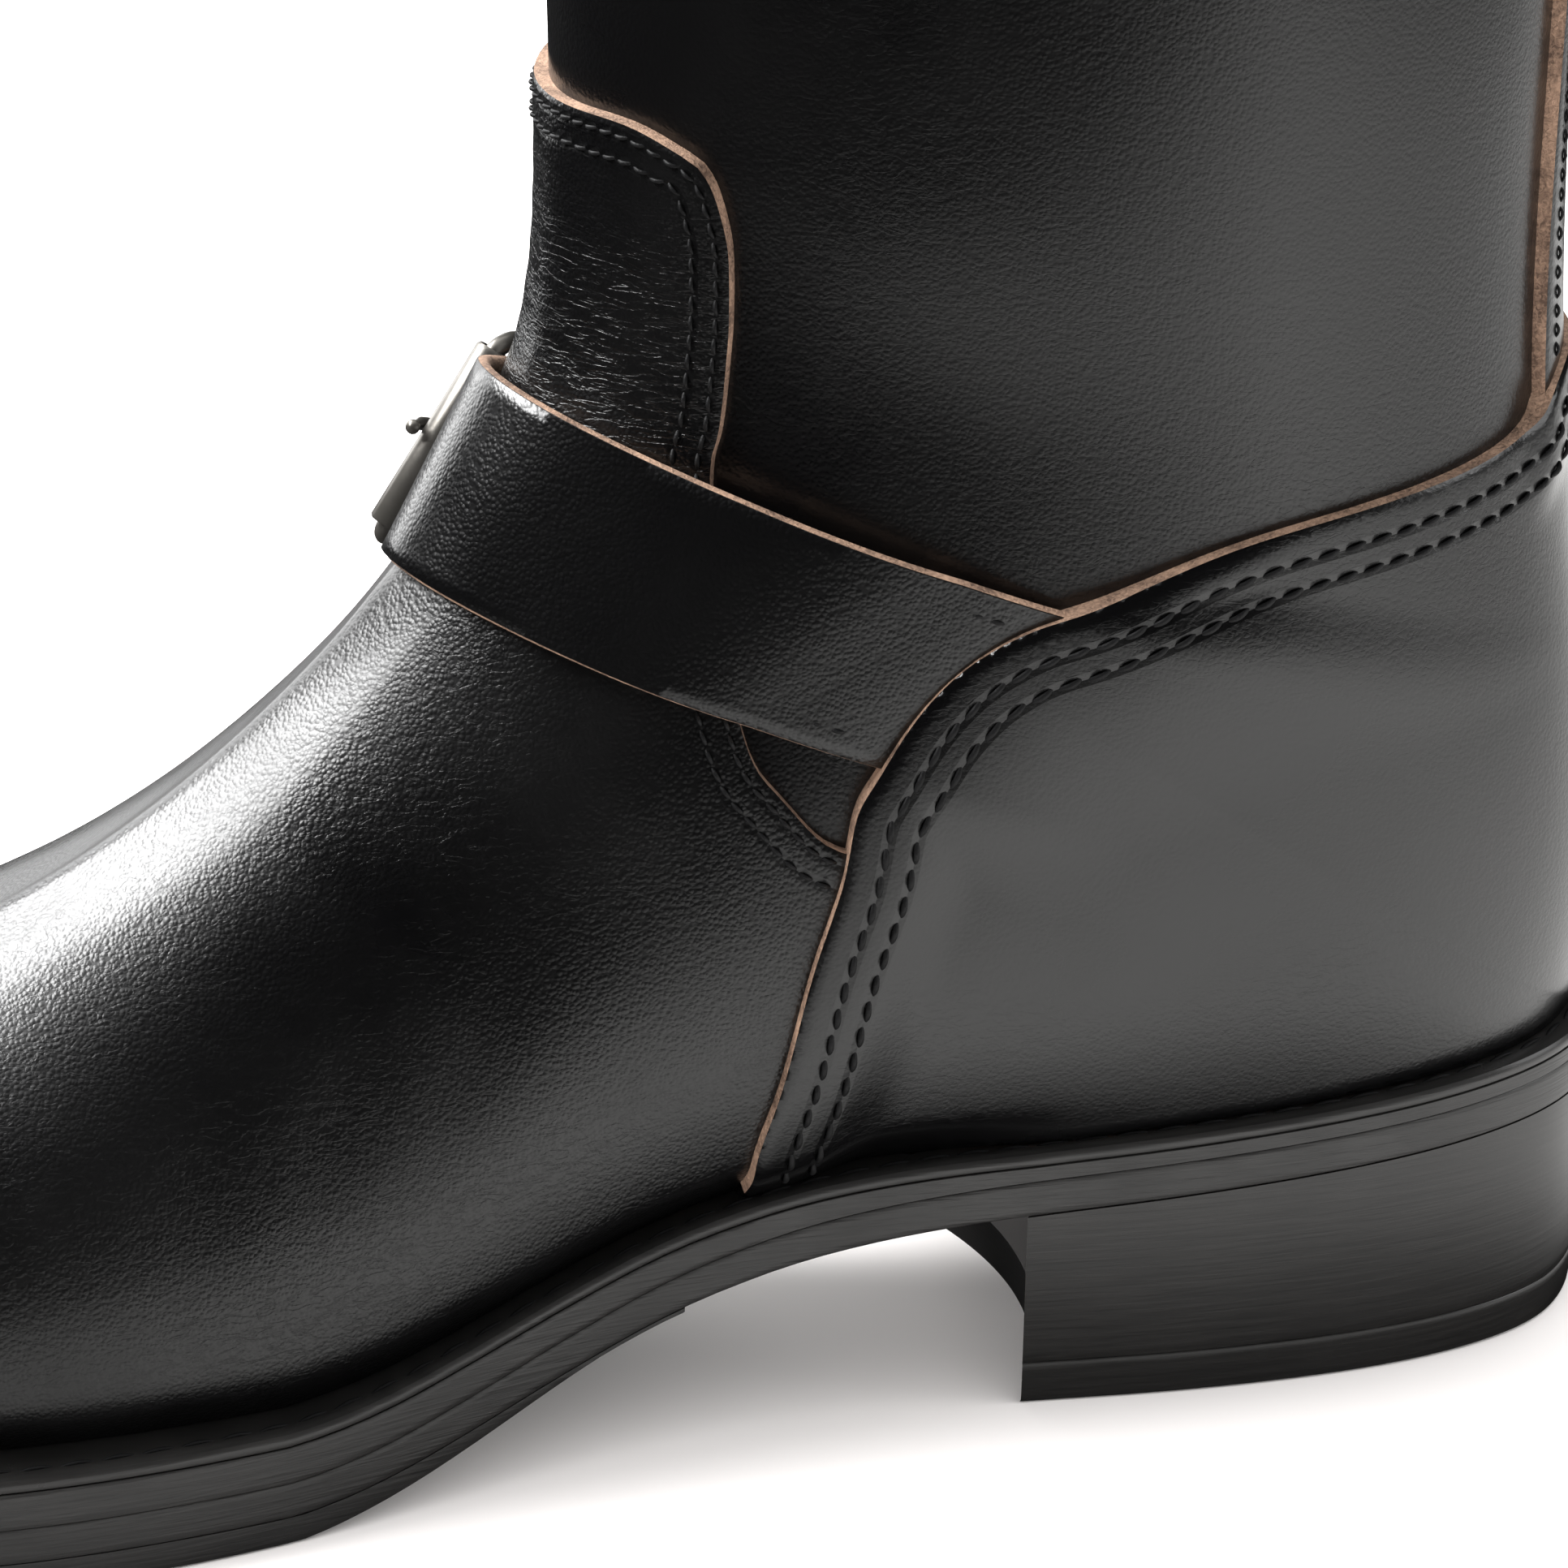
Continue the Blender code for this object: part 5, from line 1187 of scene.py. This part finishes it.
def heelRing(height, inset, drop=0.0):
    plan = heelPlan(inset)
    return lying(plan, soleRise(plan[:, 1]) - drop if height is None else np.full(len(plan), height))


seam, lean = sole["topLift"], sole["heelTaper"]
taper = lean / last["heelHeight"]
stack = [heelRing(seam, 0.00012 + lean - seam * taper), heelRing(seam + 0.0002, lean - seam * taper)]
stack += [heelRing(z, lean - z * taper) for z in (seam + 0.0014, 0.012, 0.018, 0.024)]
stack.append(heelRing(None, 0.0, 0.0002))
heelLifts = layerPiece("heelLifts", stack, (heelEdge, breastReflectionAndBare), "heel_stack", ladder=False, sharp=42)
for face in heelLifts.data.polygons:
    if face.normal.y < -0.6:  # the breast takes the grey that paints the floor's reflection in it
        face.material_index = 1
lift = [heelRing(0.0, lean + 0.0007), heelRing(0.0004, lean + 0.0001), heelRing(0.001, lean)]
lift += [heelRing(z, lean - z * taper) for z in (0.0022, seam - 0.0012)]
lift += [heelRing(seam - 0.0002, lean - seam * taper), heelRing(seam - 0.00005, lean - seam * taper + 0.0001)]
layerPiece("topLiftPiece", lift, (heelEdge,), "top_lift", ladder=False, sharp=42)
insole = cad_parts["insole"]
for holder in insole.material_slots:
    holder.material = boardTan
print("sole and heel built")

# floor, light and camera
studio = {
    "floor": (0.95, 0.915, 0.90), "air": (1.0, 1.0, 1.0), "airPower": 1.4,
    "lights": (
        {"name": "overToe", "spot": (-0.40, -0.86, 1.08), "aim": (0.0, -0.14, 0.08), "size": (1.25, 0.55), "power": 56},
        {"name": "lowToe", "spot": (-1.2, -0.80, 0.36), "aim": (0.0, -0.10, 0.12), "size": (0.7, 0.7), "power": 6},
        {"name": "farSide", "spot": (-1.3, -0.30, 0.40), "aim": (0.0, -0.05, 0.12), "size": (0.9, 0.9), "power": 4.5},
        {"name": "heelSide", "spot": (0.45, 1.30, 0.45), "aim": (0.0, 0.0, 0.10), "size": (0.7, 0.7), "power": 5},
        {"name": "above", "spot": (-0.3, 0.0, 1.9), "aim": (0.0, -0.1, 0.0), "size": (1.6, 1.6), "power": 14},
    ),
    "card": {
        "low": (-0.35, -0.50), "high": (0.75, 0.80), "level": -0.002, "power": 1.75,
        "fade": (-0.46, -0.14), "far": 0.14, "lean": -1.0, "near": (0.047, 0.084),
    },
    "cameraSpot": (0.97029383, -0.28577588, 0.50337221), "cameraTurn": (66.87993, 0.13795, 77.27110),
    "lens": 192.94,
}
bpy.ops.mesh.primitive_grid_add(x_subdivisions=8, y_subdivisions=8, size=8)
floor = bpy.context.object
floor.name = "studioFloor"
floorMade, tree, shader = surface("paleFloor", Roughness=0.65)
tint = noiseIn(tree, spotsIn(tree), 3.0, 2)
dye(tree, shader, tint, studio["floor"], tuple(0.985 * v for v in studio["floor"]))
floor.data.materials.append(floorMade)
floor.visible_glossy = False
card = studio["card"]  # the lit ground beside the heel, seen only as a reflection in the leather
(x0, y0), (x1, y1) = card["low"], card["high"]
cardMesh = bpy.data.meshes.new("groundCard")
cardMesh.from_pydata([(x, y, card["level"]) for x, y in ((x0, y0), (x1, y0), (x1, y1), (x0, y1))], [], [(0, 1, 2, 3)])
groundCard = bpy.data.objects.new("groundCard", cardMesh)
bpy.context.scene.collection.objects.link(groundCard)
cardMade, tree, shader = surface("groundGlow", Roughness=1.0, Emission_Color=(1.0, 0.99, 0.97, 1.0))
parts = nodeIn(tree, "ShaderNodeSeparateXYZ", {0: spotsIn(tree)})
reach = mathIn(tree, "ADD", parts.outputs[1], mathIn(tree, "MULTIPLY", parts.outputs[0], card["lean"]))
glow = spreadIn(tree, reach, card["fade"][0], card["fade"][1], 0.0, card["power"])
far = spreadIn(tree, parts.outputs[1], card["far"], y1, 1.0, 0.0)
beside = [mathIn(tree, "POWER", mathIn(tree, "MAXIMUM", parts.outputs[k], 0.0), 2.0) for k in range(2)]
beside = mathIn(tree, "SQRT", mathIn(tree, "ADD", beside[0], beside[1]), 0.0)
far = mathIn(tree, "MULTIPLY", far, spreadIn(tree, beside, card["near"][0], card["near"][1], 0.0, 1.0))
tree.links.new(mathIn(tree, "MULTIPLY", glow, far), shader.inputs["Emission Strength"])
shader.inputs["Base Color"].default_value = (0, 0, 0, 1)
cardMesh.materials.append(cardMade)
cardMade.cycles.emission_sampling = "NONE"
groundCard.visible_camera = groundCard.visible_diffuse = groundCard.visible_shadow = False
world = bpy.context.scene.world or bpy.data.worlds.new("studioAir")
bpy.context.scene.world = world
world.use_nodes = True
air = world.node_tree.nodes["Background"]
air.inputs["Color"].default_value = (*studio["air"], 1)
air.inputs["Strength"].default_value = studio["airPower"]
world.cycles_visibility.glossy = False
for lamp in studio["lights"]:
    data = bpy.data.lights.new(lamp["name"], "AREA")
    data.shape, data.energy = "RECTANGLE", lamp["power"]
    data.size, data.size_y = lamp["size"]
    light = bpy.data.objects.new(lamp["name"], data)
    bpy.context.scene.collection.objects.link(light)
    light.location = lamp["spot"]
    toward = Vector(lamp["aim"]) - Vector(lamp["spot"])
    light.rotation_euler = toward.to_track_quat("-Z", "Y").to_euler()
camera = bpy.data.objects.new("camera", bpy.data.cameras.new("camera"))
bpy.context.scene.collection.objects.link(camera)
camera.data.lens, camera.data.sensor_width = studio["lens"], 36.0
camera.location = studio["cameraSpot"]
camera.rotation_euler = [math.radians(angle) for angle in studio["cameraTurn"]]
bpy.context.scene.camera = camera
bpy.context.scene.view_settings.view_transform = "Standard"
print("studio set")

bpy.context.view_layer.update()
